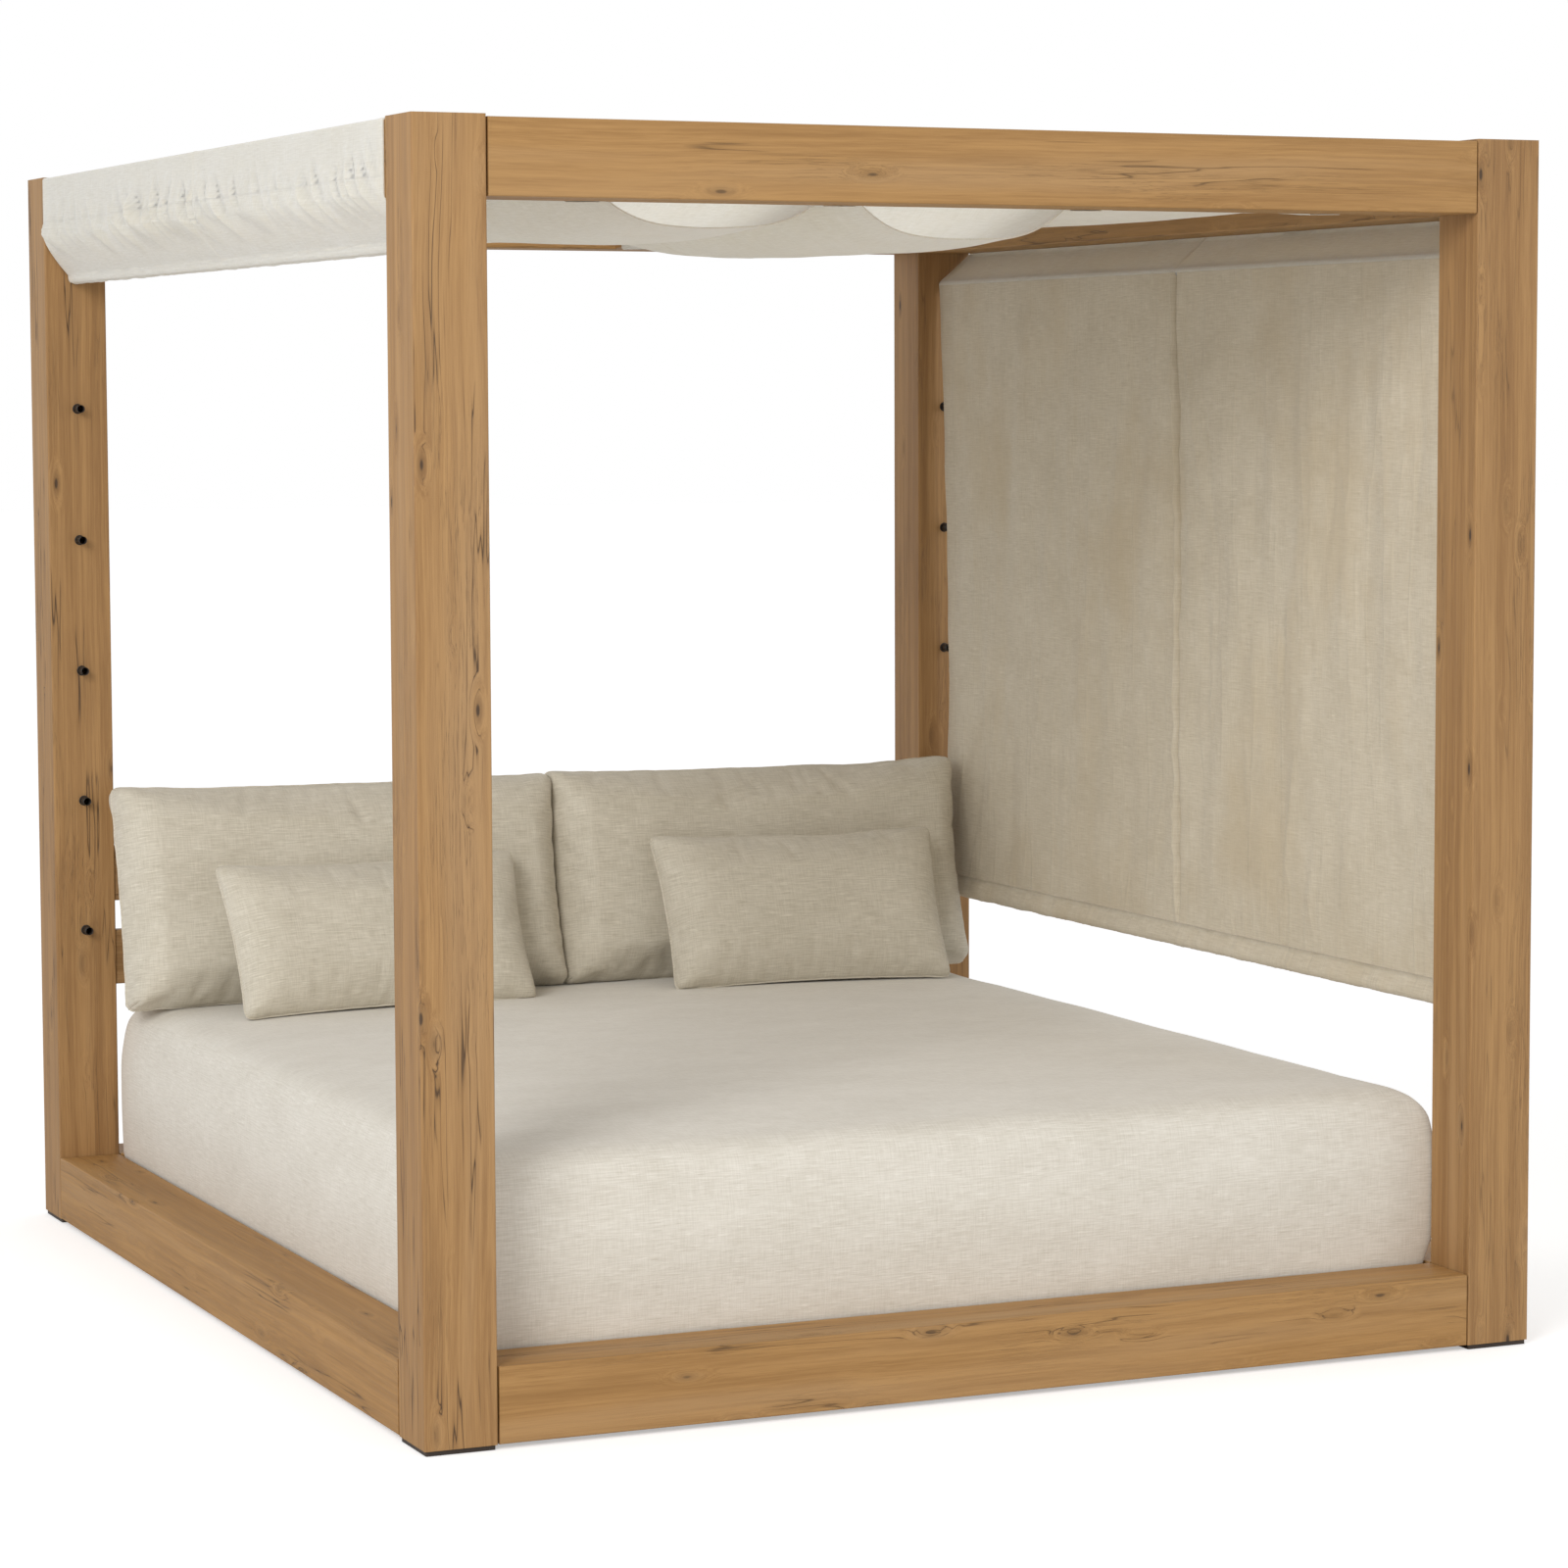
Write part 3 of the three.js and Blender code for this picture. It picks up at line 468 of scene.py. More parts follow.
def grown_piece(name, points, edges, body, slot, group, facing=None, **inputs):
    """Grows a piece from points and edges with a node group and its inputs, and lets it ride on a body."""
    mesh = bpy.data.meshes.new(name)
    mesh.from_pydata(points, edges, [])
    if facing:
        mesh.attributes.new("facing", "FLOAT_VECTOR", "POINT").data.foreach_set("vector", np.ravel(facing))
    piece = bpy.data.objects.new(name, mesh)
    bpy.context.scene.collection.objects.link(piece)
    modifier = piece.modifiers.new(group.name, "NODES")
    modifier.node_group = group
    for item in group.interface.items_tree:
        if item.in_out == "INPUT" and item.name in inputs:
            modifier[item.identifier] = inputs[item.name]
    apply_modifiers(piece)
    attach(piece, body)
    return piece


def stitches(name, lines, body, material):
    """Sews rows of stitches along lines of points."""
    points = []
    edges = []
    for line in lines:
        first = len(points)
        points.extend(tuple(point) for point in line)
        edges.extend((first + index, first + index + 1) for index in range(len(line) - 1))
    return grown_piece(name, points, edges, body, "canvas", stitch_group(), Pitch=0.0042,
                       Size=(0.0009, 0.0009, 0.0030), Thread=material)


def rings(name, places, slot, material, bore, rim, depth):
    """Sets a turned ring at each place, a pair of a point and the direction that it faces."""
    points, facing = zip(*places)
    return grown_piece(name, points, [], "frame", slot, ring_group(), facing,
                       Bore=bore, Rim=rim, Depth=depth, Finish=material)


def studs(name, places, radius, height):
    """Sets a screw's or bolt's round head, with its socket, at each place."""
    socket = radius * 0.30
    rings(name, places, "steel", look("steel"), socket, radius - socket, height)
    inner = [(tuple(np.array(point) - np.array(facing) * height * 0.25), facing) for point, facing in places]
    rings(name + "_sockets", inner, "steel", look("steel"), radius * 0.02, socket, height * 0.6)


# Stuffed pieces


def simulate(piece, pressure, cap, stretch, frames=20, pinned=()):
    """Swells a closed piece by cloth simulation, holds its pinned points and caps how far the others move."""
    scene = bpy.context.scene
    before = get_points(piece.data)
    modifier = piece.modifiers.new("Cloth", "CLOTH")
    settings = modifier.settings
    settings.quality = 6
    settings.mass = 0.3
    settings.tension_stiffness = settings.compression_stiffness = 12.0
    settings.shear_stiffness = 4.0
    settings.bending_stiffness = 0.25
    settings.use_pressure = True
    settings.uniform_pressure_force = pressure
    settings.shrink_min = -stretch
    settings.effector_weights.gravity = 0.0
    if len(pinned):
        piece.vertex_groups.new(name="pinned").add([int(point) for point in pinned], 1.0, "REPLACE")
        settings.vertex_group_mass = "pinned"
    modifier.point_cache.frame_end = frames
    for step in range(1, frames + 1):
        scene.frame_set(step)
    evaluated = piece.evaluated_get(bpy.context.evaluated_depsgraph_get())
    moved = get_points(evaluated.data) - before
    length = np.linalg.norm(moved, axis=1, keepdims=True)
    moved *= np.minimum(1.0, cap / np.maximum(length, 1e-9))
    piece.modifiers.remove(modifier)
    scene.frame_set(1)
    set_points(piece.data, before + moved)


class Pad:
    """The form of one kind of stuffed pad: two sheets that meet in a seam round its middle."""

    def __init__(self, size, pitch, edge, square, corner, pull, crown, flare=0.0):
        self.width, self.thickness, self.height = size
        self.pitch = pitch
        self.edge = edge
        self.square = square
        self.corner = corner
        self.pull = pull
        self.crown = crown
        self.flare = flare

    def steps(self, length):
        """Places across the pad, how full it is at each, and the distance along its cloth."""
        border = 8
        half = length / 2
        power = 2 / self.square
        places = [(-half, 0.0)]
        for step in range(1, border):
            angle = math.pi / 2 * step / border
            places.append((self.edge * (1 - math.cos(angle) ** power) - half, math.sin(angle) ** power))
        count = max(2, round((length - 2 * self.edge) / self.pitch))
        flat = length - 2 * self.edge
        inner = [(self.edge - half + flat * step / count, 1.0) for step in range(count + 1)]
        places += inner + [(-place, rise) for place, rise in reversed(places)]
        run = rows_of([(place, 0.0, rise * self.thickness / 2) for place, rise in places])
        return [(place, rise, along - run[-1] / 2) for (place, rise), along in zip(places, run)]

    def rounded(self, x, z):
        """Moves a place near one of the four corners in to that corner's curve."""
        reach_x, reach_z = self.width / 2 - self.corner, self.height / 2 - self.corner
        over_x, over_z = abs(x) - reach_x, abs(z) - reach_z
        if over_x <= 0 or over_z <= 0:
            return x, z
        share = max(over_x, over_z) / math.hypot(over_x, over_z)
        return math.copysign(reach_x + over_x * share, x), math.copysign(reach_z + over_z * share, z)

    def build(self, name, seed):
        """Makes the pad, and returns it with the order of the points along its seam."""
        across, up = self.steps(self.width), self.steps(self.height)
        columns, rows = len(across) - 1, len(up) - 1
        points = []
        weave = []
        index = {}
        for face in (-1.0, 1.0):
            for row, (level, rise_z, run_z) in enumerate(up):
                for column, (side, rise_x, run_x) in enumerate(across):
                    if face > 0 and (row in (0, rows) or column in (0, columns)):
                        index[face, row, column] = index[-1.0, row, column]
                        continue
                    u, v = 2 * side / self.width, 2 * level / self.height
                    full = 0.0
                    if rise_x > 0 and rise_z > 0:
                        full = (rise_x**-2 + rise_z**-2 - 1) ** -0.5
                    full *= 1 - self.crown + self.crown * (1 - u * u) * (1 - v * v)
                    full *= 1 - 0.06 * v + 0.05 * ripple(side, level, 0.22, seed)
                    x, z = self.rounded(side, level)
                    x += (self.flare * (1 + v) / 2 - self.pull * (1 - v * v)) * u * abs(u)
                    z -= self.pull * (1 - u * u) * v * abs(v)
                    z += 0.006 * max(0.0, v) ** 2 * ripple(side, 0.0, 0.17, seed + 3)
                    index[face, row, column] = len(points)
                    points.append((x, face * full * self.thickness / 2, z))
                    weave.append((run_x + 1.3 * seed, run_z + 2.0 * face))
        faces = []
        for face in (-1.0, 1.0):
            for row in range(rows):
                for column in range(columns):
                    ring = [index[face, row, column], index[face, row, column + 1],
                            index[face, row + 1, column + 1], index[face, row + 1, column]]
                    faces.append(ring if face < 0 else ring[::-1])
        piece = mesh_piece(name, points, faces)
        set_weave(piece.data, weave)
        seam = [index[-1.0, 0, column] for column in range(columns)]
        seam += [index[-1.0, row, columns] for row in range(rows)]
        seam += [index[-1.0, rows, column] for column in range(columns, 0, -1)]
        seam += [index[-1.0, row, 0] for row in range(rows, 0, -1)]
        return piece, seam


def seam_points(points, seam, radius):
    """The points and faces of a thin rounded cord laid along a closed seam."""
    path = points[seam]
    ahead = np.roll(path, -1, axis=0) - np.roll(path, 1, axis=0)
    ahead /= np.linalg.norm(ahead, axis=1, keepdims=True)
    side = np.cross(ahead, (0.0, 1.0, 0.0))
    side /= np.linalg.norm(side, axis=1, keepdims=True)
    steps = 6
    cord = []
    faces = []
    count = len(seam)
    for place in range(count):
        for step in range(steps):
            angle = 2 * math.pi * step / steps
            out = side[place] * math.cos(angle) * radius * 1.7
            cord.append(path[place] + out + np.array((0.0, math.sin(angle) * radius, 0.0)))
            ring = [(place * steps + step), (place * steps + (step + 1) % steps),
                    ((place + 1) % count * steps + (step + 1) % steps), ((place + 1) % count * steps + step)]
            faces.append(ring)
    return cord, faces


def stuffed(node, pad, place, lean, turn, pressure, cap, seed, stop=None):
    """Makes one stuffed pad where a solid is: swelled, seamed, leant, turned and set down on the mattress."""
    piece, seam = pad.build("soft_" + node, seed)
    simulate(piece, pressure, cap, stretch=0.02, pinned=seam)
    subdivide(piece)
    cord, faces = seam_points(get_points(piece.data), seam, 0.0016)
    turned = Matrix.Rotation(turn, 3, "Z") @ Matrix.Rotation(-lean, 3, "X")
    _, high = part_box(node)
    points = get_points(piece.data) @ np.array(turned).T
    shift = np.array((place, high.y - points[:, 1].max(), 0.0))
    points = points + shift
    ground = surface_of(bpy.data.objects["soft_mattress"])

    def ground_height(point):
        hit = ground.ray_cast(Vector((point[0], point[1], 2.0)), Vector((0, 0, -1)))
        return -1.0 if hit[0] is None else hit[0].z

    drop = 1.0
    for point in points[points[:, 2] < points[:, 2].min() + SEAT_DEPTH]:
        drop = min(drop, point[2] - ground_height(point))
    lift = np.array((0.0, 0.0, -drop - SINK))
    points = points + lift
    for row in np.nonzero(points[:, 2] < points[:, 2].min() + SEAT_DEPTH)[0]:
        points[row, 2] = max(points[row, 2], ground_height(points[row]) + SEATED)
    if stop is not None:
        points[:, 0] = np.maximum(stop, points[:, 0]) if place > stop else np.minimum(stop, points[:, 0])
    set_points(piece.data, points)
    cord = np.array(cord) @ np.array(turned).T + shift + lift
    cord[:, 2] = np.maximum(cord[:, 2], points[:, 2].min())
    seam_piece = mesh_piece("seam_" + node, cord, faces)
    set_weave(seam_piece.data, cord[:, (0, 2)])
    finish_piece(piece, "frame", "cushion_linen", look("linen"), node)
    finish_piece(seam_piece, "frame", "cushion_linen", look("linen"))


def box_weave(mesh):
    """Lays fabric coordinates on a block face by face, with the threads level on its sides."""
    layer = mesh.uv_layers.new(name="weave")
    for polygon in mesh.polygons:
        normal = [abs(part) for part in polygon.normal]
        for loop in polygon.loop_indices:
            x, y, z = mesh.vertices[mesh.loops[loop].vertex_index].co
            if normal[2] >= max(normal[0], normal[1]) * 0.9:
                layer.data[loop].uv = (x, y)
            elif normal[1] > normal[0]:
                layer.data[loop].uv = (x, z + 5.0)
            else:
                layer.data[loop].uv = (y, z + 9.0)


def mattress_piece(settings):
    """The mattress: a deep foam block under a fitted cover, its top crowned and its edges rounded."""
    low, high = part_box("mattress")
    gap = 0.0004
    half = np.array([(high.x - low.x) / 2 - 0.002, (high.y - low.y) / 2 - 0.002,
                     (high.z - low.z - settings.crown) / 2 - gap])
    centre = np.array([0.0, 0.0, low.z + gap + half[2]])
    edge = settings.edge
    marks = []
    for length in half:
        bend = [edge * (1 - math.cos(math.pi / 2 * step / 4)) - length for step in range(4)]
        count = max(2, round(2 * (length - edge) / settings.pitch))
        middle = [(length - edge) * (2 * step / count - 1) for step in range(count + 1)]
        marks.append(bend + middle + [-place for place in reversed(bend)])
    counts = [len(line) - 1 for line in marks]
    index = {}
    points = []
    faces = []

    def corner(place):
        if place not in index:
            point = np.array([line[step] for line, step in zip(marks, place)])
            core = np.clip(point, edge - half, half - edge)
            out = point - core
            level = (abs(out[0]) ** settings.square + abs(out[1]) ** settings.square) ** (1 / settings.square)
            power = 2.0 if out[2] > 0 else settings.square
            shaped = core + out * (edge / (level**power + abs(out[2]) ** power) ** (1 / power))
            across, along = shaped[0] / half[0], shaped[1] / half[1]
            if shaped[2] > 0:
                fall = (shaped[2] / half[2]) ** 2
                shaped[2] += settings.crown * (1 - across**4) * (1 - along**4) * fall
            puff = 0.003 * max(0.0, 1 - (shaped[2] / half[2]) ** 2)
            spread = clamp((1.0 - shaped[2] / half[2]) / 0.7)
            wide = settings.spread[0] * spread + puff * (0.6 + ripple(shaped[1], 1.0, 0.5, 4.0))
            deep = settings.spread[1] * spread + puff * (0.6 + ripple(shaped[0], 2.0, 0.5, 5.0))
            shaped[0] += wide * across**3
            if across > 0:
                above = clamp((shaped[2] / half[2] + 0.84) / 0.25)
                below = clamp((1.0 - shaped[2] / half[2]) / 0.3)
                shaped[0] += settings.overhang * across**3 * above * below
            shaped[1] += deep * along**3
            shaped[2] += 0.0025 * ripple(shaped[0], shaped[1], 0.28, 6.0) * (shaped[2] > 0)
            index[place] = len(points)
            points.append(shaped + centre)
        return index[place]

    for axis in range(3):
        first, second = [other for other in range(3) if other != axis]
        for end in (0, counts[axis]):
            for i in range(counts[first]):
                for j in range(counts[second]):
                    ring = []
                    for di, dj in ((0, 0), (1, 0), (1, 1), (0, 1)):
                        place = [0, 0, 0]
                        place[axis], place[first], place[second] = end, i + di, j + dj
                        ring.append(corner(tuple(place)))
                    outward = (end > 0) != (axis == 1)
                    faces.append(ring if outward else ring[::-1])
    return mesh_piece("soft_mattress", points, faces)


# Cloth


def cloth_piece(name, grid, thickness, weave):
    """A closed sheet laid through a grid of points, with half its thickness to each side."""
    grid = np.asarray(grid, float)
    rows, columns = grid.shape[:2]
    normal = np.cross(np.gradient(grid, axis=0), np.gradient(grid, axis=1))
    normal /= np.maximum(np.linalg.norm(normal, axis=2, keepdims=True), 1e-12)
    offset = normal * (np.asarray(thickness, float) / 2)[..., None]
    points = np.concatenate([(grid + offset).reshape(-1, 3), (grid - offset).reshape(-1, 3)])
    count = rows * columns
    faces = []
    for row in range(rows - 1):
        for column in range(columns - 1):
            a = row * columns + column
            ring = [a, a + columns, a + columns + 1, a + 1]
            faces.append(ring)
            faces.append([count + corner for corner in ring[::-1]])
    border = [(0, column) for column in range(columns)] + [(row, columns - 1) for row in range(1, rows)]
    border += [(rows - 1, column) for column in range(columns - 2, -1, -1)]
    border += [(row, 0) for row in range(rows - 2, 0, -1)]
    ids = [row * columns + column for row, column in border]
    for here, there in zip(ids, ids[1:] + ids[:1]):
        faces.append([here, there, there + count, here + count])
    piece = mesh_piece(name, points, faces)
    piece.data.set_sharp_from_angle(angle=math.radians(50.0))
    flat = np.asarray(weave, float).reshape(-1, 2)
    set_weave(piece.data, np.concatenate([flat, flat]))
    return piece


def lay_sheet(name, rows, columns, thickness, place):
    """A sheet whose points and threads the function place gives for each row and each place along it."""
    spots = [[place(row, y) for y in columns] for row in range(rows)]
    grid = np.array([[point for point, _ in line] for line in spots])
    weave = np.array([[threads for _, threads in line] for line in spots])
    return cloth_piece(name, grid, np.tile(thickness, (rows, 1)), weave), grid


def hem_lines(grid, columns, axis, lift):
    """Lines for the stitches down the given columns, on both faces of a sheet."""
    lines = []
    for column in columns:
        for face in (1.0, -1.0):
            line = grid[:, column].copy()
            line[:, axis] += face * lift
            lines.append(line)
    return lines


def smooth_curve(places, values, at):
    """A smooth curve through values at rising places."""
    slopes = np.gradient(values, places)
    index = min(len(places) - 2, max(0, int(np.searchsorted(places, at)) - 1))
    span = places[index + 1] - places[index]
    t = (at - places[index]) / span
    return ((2 * t**3 - 3 * t**2 + 1) * values[index] + (t**3 - 2 * t**2 + t) * span * slopes[index]
            + (3 * t**2 - 2 * t**3) * values[index + 1] + (t**3 - t**2) * span * slopes[index + 1])


def rows_of(line):
    """Distances along a line of points, from its start."""
    steps = np.linalg.norm(np.diff(np.asarray(line, float), axis=0), axis=1)
    return np.concatenate([[0.0], np.cumsum(steps)])


class Canopy:
    """The canopy's line across the frame, read from the solids it lies on, with the sag at each place."""

    def __init__(self, settings):
        self.settings = settings
        self.places = []
        self.clear = settings.thickness / 2 + CLOTH_GAP
        left_low, left_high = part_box("top_beam_left")
        right_low, right_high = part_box("top_beam_right")
        self.top = left_high.z + self.clear
        self.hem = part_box("drop_left")[0].z
        self.under = left_low.z
        self.bend = EDGE_ROUND + self.clear
        self.inner = right_low.x
        laths = [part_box(f"cross_lath_{number}") for number in range(1, 5)]
        self.outer = laths[3][1].x
        self.ends = laths[0][1].y
        self.rise = laths[0][1].z - laths[0][0].z - settings.lath
        on_lath = laths[0][0].z + settings.lath + self.clear
        split = self.under + SPLIT
        for step in range(9):
            self.mark(left_low.x - self.clear, split + (self.top - self.bend - split) * step / 9)
        self.turn(left_low.x - self.clear + self.bend, self.top - self.bend, math.pi, math.pi / 2)
        self.mark(left_high.x - 0.05, self.top)
        self.mark(left_high.x, self.top)
        ends = [settings.end_sag] * len(settings.sag_places)
        self.swag((left_high.x, self.top), (laths[0][0].x, on_lath), ends, roundness=2.0, steps=16)
        sags = (settings.left_sags, settings.middle_sags, settings.right_sags)
        for number, (low, high) in enumerate(laths):
            self.mark(low.x, on_lath)
            self.mark((low.x + high.x) / 2, on_lath)
            self.mark(high.x, on_lath)
            if number < 3:
                following = (laths[number + 1][0].x, on_lath)
                self.swag((high.x, on_lath), following, sags[number], settings.roundness, SWAG_STEPS)
        self.swag((laths[3][1].x, on_lath), (right_low.x, self.top), ends, roundness=2.0, steps=16)
        self.mark(right_low.x, self.top)
        self.mark(right_low.x + 0.05, self.top)
        self.turn(right_high.x + self.clear - self.bend, self.top - self.bend, math.pi / 2, 0.0)
        fall = self.top - self.bend - self.under
        for step in range(1, 11):
            self.mark(right_high.x + self.clear, self.top - self.bend - fall * step / 10)
        *bar, radius = bar_line("guide_bar_right")
        reach = radius + self.clear
        leave = (right_high.x + self.clear - bar[0], self.under - bar[1])
        touch = math.atan2(leave[1], leave[0]) + math.acos(reach / math.hypot(*leave))
        meet = (bar[0] + reach * math.cos(touch), bar[1] + reach * math.sin(touch))
        for step in range(1, 6):
            share = step / 6
            self.mark(bar[0] + leave[0] + (meet[0] - bar[0] - leave[0]) * share,
                      self.under + (meet[1] - self.under) * share, loose=0.6 * math.sin(math.pi * share))
        for step in range(9):
            angle = touch + (math.pi - touch) * step / 8
            self.mark(bar[0] + reach * math.cos(angle), bar[1] + reach * math.sin(angle))

    def mark(self, x, z, sags=None, full=0.0, loose=0.0):
        """Adds a place to the line, with its swag's sags, its share of them and how free it is to wrinkle."""
        self.places.append((x, z, sags, full, loose))

    def turn(self, x, z, start, end):
        """Bends the line round an edge."""
        for step in range(6):
            angle = start + (end - start) * step / 5
            self.mark(x + self.bend * math.cos(angle), z + self.bend * math.sin(angle))

    def swag(self, start, end, sags, roundness, steps):
        """Lets the line hang between two places."""
        for step in range(1, steps):
            share = step / steps
            fall = 1 - abs(2 * share - 1) ** roundness
            self.mark(start[0] + (end[0] - start[0]) * share, start[1] + (end[1] - start[1]) * share,
                      sags, fall, math.sin(math.pi * share) * min(1.0, max(sags) / 0.045))

    def bow(self, y):
        """How far a lath's middle stands above its ends at a place along it."""
        return self.rise * (1 - (y / self.ends) ** 2)

    def height(self, place, y, across):
        """The cloth's height at a place along the line, y metres back, from a thread that lies at across."""
        x, z, sags, full, _ = place
        lift = clamp((self.inner - abs(x)) / (self.inner - self.outer))
        sag = smooth_curve(self.settings.sag_places, list(sags), across) if sags else 0.0
        return z + lift * self.bow(y) - full * sag


def side_folds(seed, foot):
    """The slanting folds on a beam's outer face: place, height, extent, lean, width and depth of each."""
    draw = np.random.RandomState(seed)
    count = 44
    folds = []
    for number in range(count):
        at = -1.06 + 2.12 * (number + draw.uniform(0.0, 1.0)) / count
        strength = 0.55 + 0.45 * math.sin(at * 4.6 + 1.1)
        folds.append((at, foot + draw.uniform(0.045, 0.095), draw.uniform(0.040, 0.085),
                      draw.uniform(0.35, 1.15), draw.uniform(0.012, 0.024),
                      draw.uniform(0.006, 0.012) + 0.012 * strength))
    return folds


def side_wave(y, z, top, foot, folds, reach):
    """How far the cloth stands off a beam's outer face, most of all low down."""
    fall = clamp((top - z) / (top - foot))
    depth = 0.003 * (0.6 + ripple(y, z, 0.21, 3.0))
    for at, middle, extent, lean, width, height in folds:
        along = (z - middle) / extent
        if abs(along) < 1:
            off = (y - at - lean * (z - middle)) / width
            off *= 1.3 if off < 0 else 0.7
            if abs(off) < 2.6:
                depth += height * (1 - along * along) * math.exp(-off * off)
    held = clamp((reach - abs(y)) / 0.09)
    return math.sin(math.pi * fall**1.5) * depth * held * held * (3 - 2 * held)


def cloth_columns(seam):
    """The places of the cloth's columns from front to back, closer at its hems and seam."""
    low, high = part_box("canopy_cloth")
    inner = np.linspace(low.y + SIDE_HEM, high.y - SIDE_HEM, 232)
    near = seam + 0.001 * np.array([-14.5, -12, -10, -8.5, -7, -5.5, -3.5, 0, 3.5, 5.5, 7, 8.5, 12])
    inner = np.sort(np.concatenate([inner[np.abs(inner - seam) > 0.017], near]))
    return np.concatenate([[low.y, low.y + 0.004], inner, [high.y - 0.004, high.y]])


def hem_thickness(columns, thickness, seam):
    """The cloth's thickness at each column: doubled in its turned side hems and along its seam."""
    near = np.minimum(columns - columns[0], columns[-1] - columns)
    double = (near < SIDE_HEM + 0.0005) | (np.abs(columns - seam) < 0.0066)
    return thickness * np.where(double, 1.9, 1.0)


def hem_columns(columns):
    """The two columns in which the side hems are stitched."""
    places = (columns[0] + SIDE_HEM - 0.003, columns[-1] - SIDE_HEM)
    return [np.searchsorted(columns, place) for place in places]


def build_canopy(settings, material, thread):
    """The cloth from the left beam's lower edge over the laths and the right beam to the guide bar."""
    canopy = Canopy(settings)
    seam = settings.seam_place
    columns = cloth_columns(seam)
    places = canopy.places
    run = rows_of([(place[0], 0.0, place[1]) for place in places])
    last = max(abs(columns[0]), columns[-1])
    folds = (side_folds(8, canopy.hem), side_folds(18, canopy.under))

    def narrowed(x):
        return settings.narrowing * max(0.0, 1 - abs(x / canopy.inner) ** 3)

    def spot(row, y):
        x, z, _, _, loose = places[row]
        narrow = 1 - narrowed(x) / last
        crease = ripple(x, y * 0.30, 0.10, 1.0) * 0.6 + ripple(x + y * 0.35, y, 0.23, 2.0)
        crease += 0.7 * math.exp(-abs(y - seam) / 0.05) * ripple(x, y * 0.3, 0.05, 3.0)
        side = 0.0
        if loose == 0.0 and z >= canopy.under and abs(x) > abs(places[0][0]) - 0.001:
            foot = canopy.hem if x < 0 else canopy.under
            side = side_wave(y, z, canopy.top, foot, folds[x > 0], last) * (1.0 if x < 0 else 0.5)
        height = canopy.height(places[row], y * narrow, y) + crease * settings.crease * loose
        return (x + math.copysign(side, x), y * narrow, height), (y, run[row])

    thickness = hem_thickness(columns, settings.thickness, seam)
    piece, grid = lay_sheet("canopy", len(places), columns, thickness, spot)
    finish_piece(piece, "frame", "canvas", material, "canopy_cloth")
    laths = [f"cross_lath_{number}" for number in range(1, 5)]
    pockets = []
    for number, lath in enumerate(laths, 1):
        reach = last - narrowed(bar_line(lath)[0]) - 0.001
        pockets.append(lath_pocket(f"pocket_{number}", lath, reach, settings, canopy.bow))
        finish_piece(pockets[-1], "frame", "canvas", material)
    shown = slice(12, -16)  # from the left beam's upper edge to the right beam's lower one
    lines = hem_lines(grid, hem_columns(columns), 2, settings.thickness * 0.55)
    stitches("stitches_canopy", [line[shown] for line in lines], "frame", thread)


def lath_pocket(name, lath, reach, settings, bow):
    """The strip of cloth sewn under a lath, from one side of it round to the other."""
    low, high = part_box(lath)
    away = settings.thickness / 2 + CLOTH_GAP
    bend = EDGE_ROUND + away
    top = low.z + settings.lath - 0.0002
    line = [(low.x - away, top), (low.x - away, low.z + settings.lath / 2)]
    for centre, start in ((low.x - away + bend, math.pi), (high.x + away - bend, 1.5 * math.pi)):
        for step in range(4):
            angle = start + math.pi / 2 * step / 3
            line.append((centre + bend * math.cos(angle), low.z - away + bend + bend * math.sin(angle)))
    line += [(high.x + away, low.z + settings.lath / 2), (high.x + away, top)]
    along = rows_of([(x, 0.0, z) for x, z in line])

    def spot(row, y):
        x, z = line[row]
        slack = math.sin(math.pi * row / (len(line) - 1))
        hang = slack * 0.0030 * (0.6 + ripple(y, x, 0.06, 50.0) + 0.8 * ripple(y, x, 0.3, 51.0))
        return (x, y, z + bow(y) - max(0.0, hang)), (y + 5.0, along[row])

    columns = np.linspace(-reach, reach, POCKET_COLUMNS)
    return lay_sheet(name, len(line), columns, np.full(len(columns), settings.thickness), spot)[0]


def hang_sheet(name, top, foot, columns, thickness, rows, wave):
    """A sheet that hangs from one line to another, (x, z) each, with the given wave in x."""
    length = math.dist(top, foot)

    def spot(row, y):
        share = row / rows
        x = top[0] + (foot[0] - top[0]) * share
        z = top[1] + (foot[1] - top[1]) * share
        drawn = math.sin(math.pi * share) ** 0.7
        inward = drawn * (0.030 if y > 0 else 0.008) * max(0.0, (abs(y) - 0.35) / 0.714) ** 1.5
        return (x + wave(y, z, share), y - math.copysign(inward, y), z), (y + 3.0, share * length)

    return lay_sheet(name, rows + 1, columns, thickness, spot)


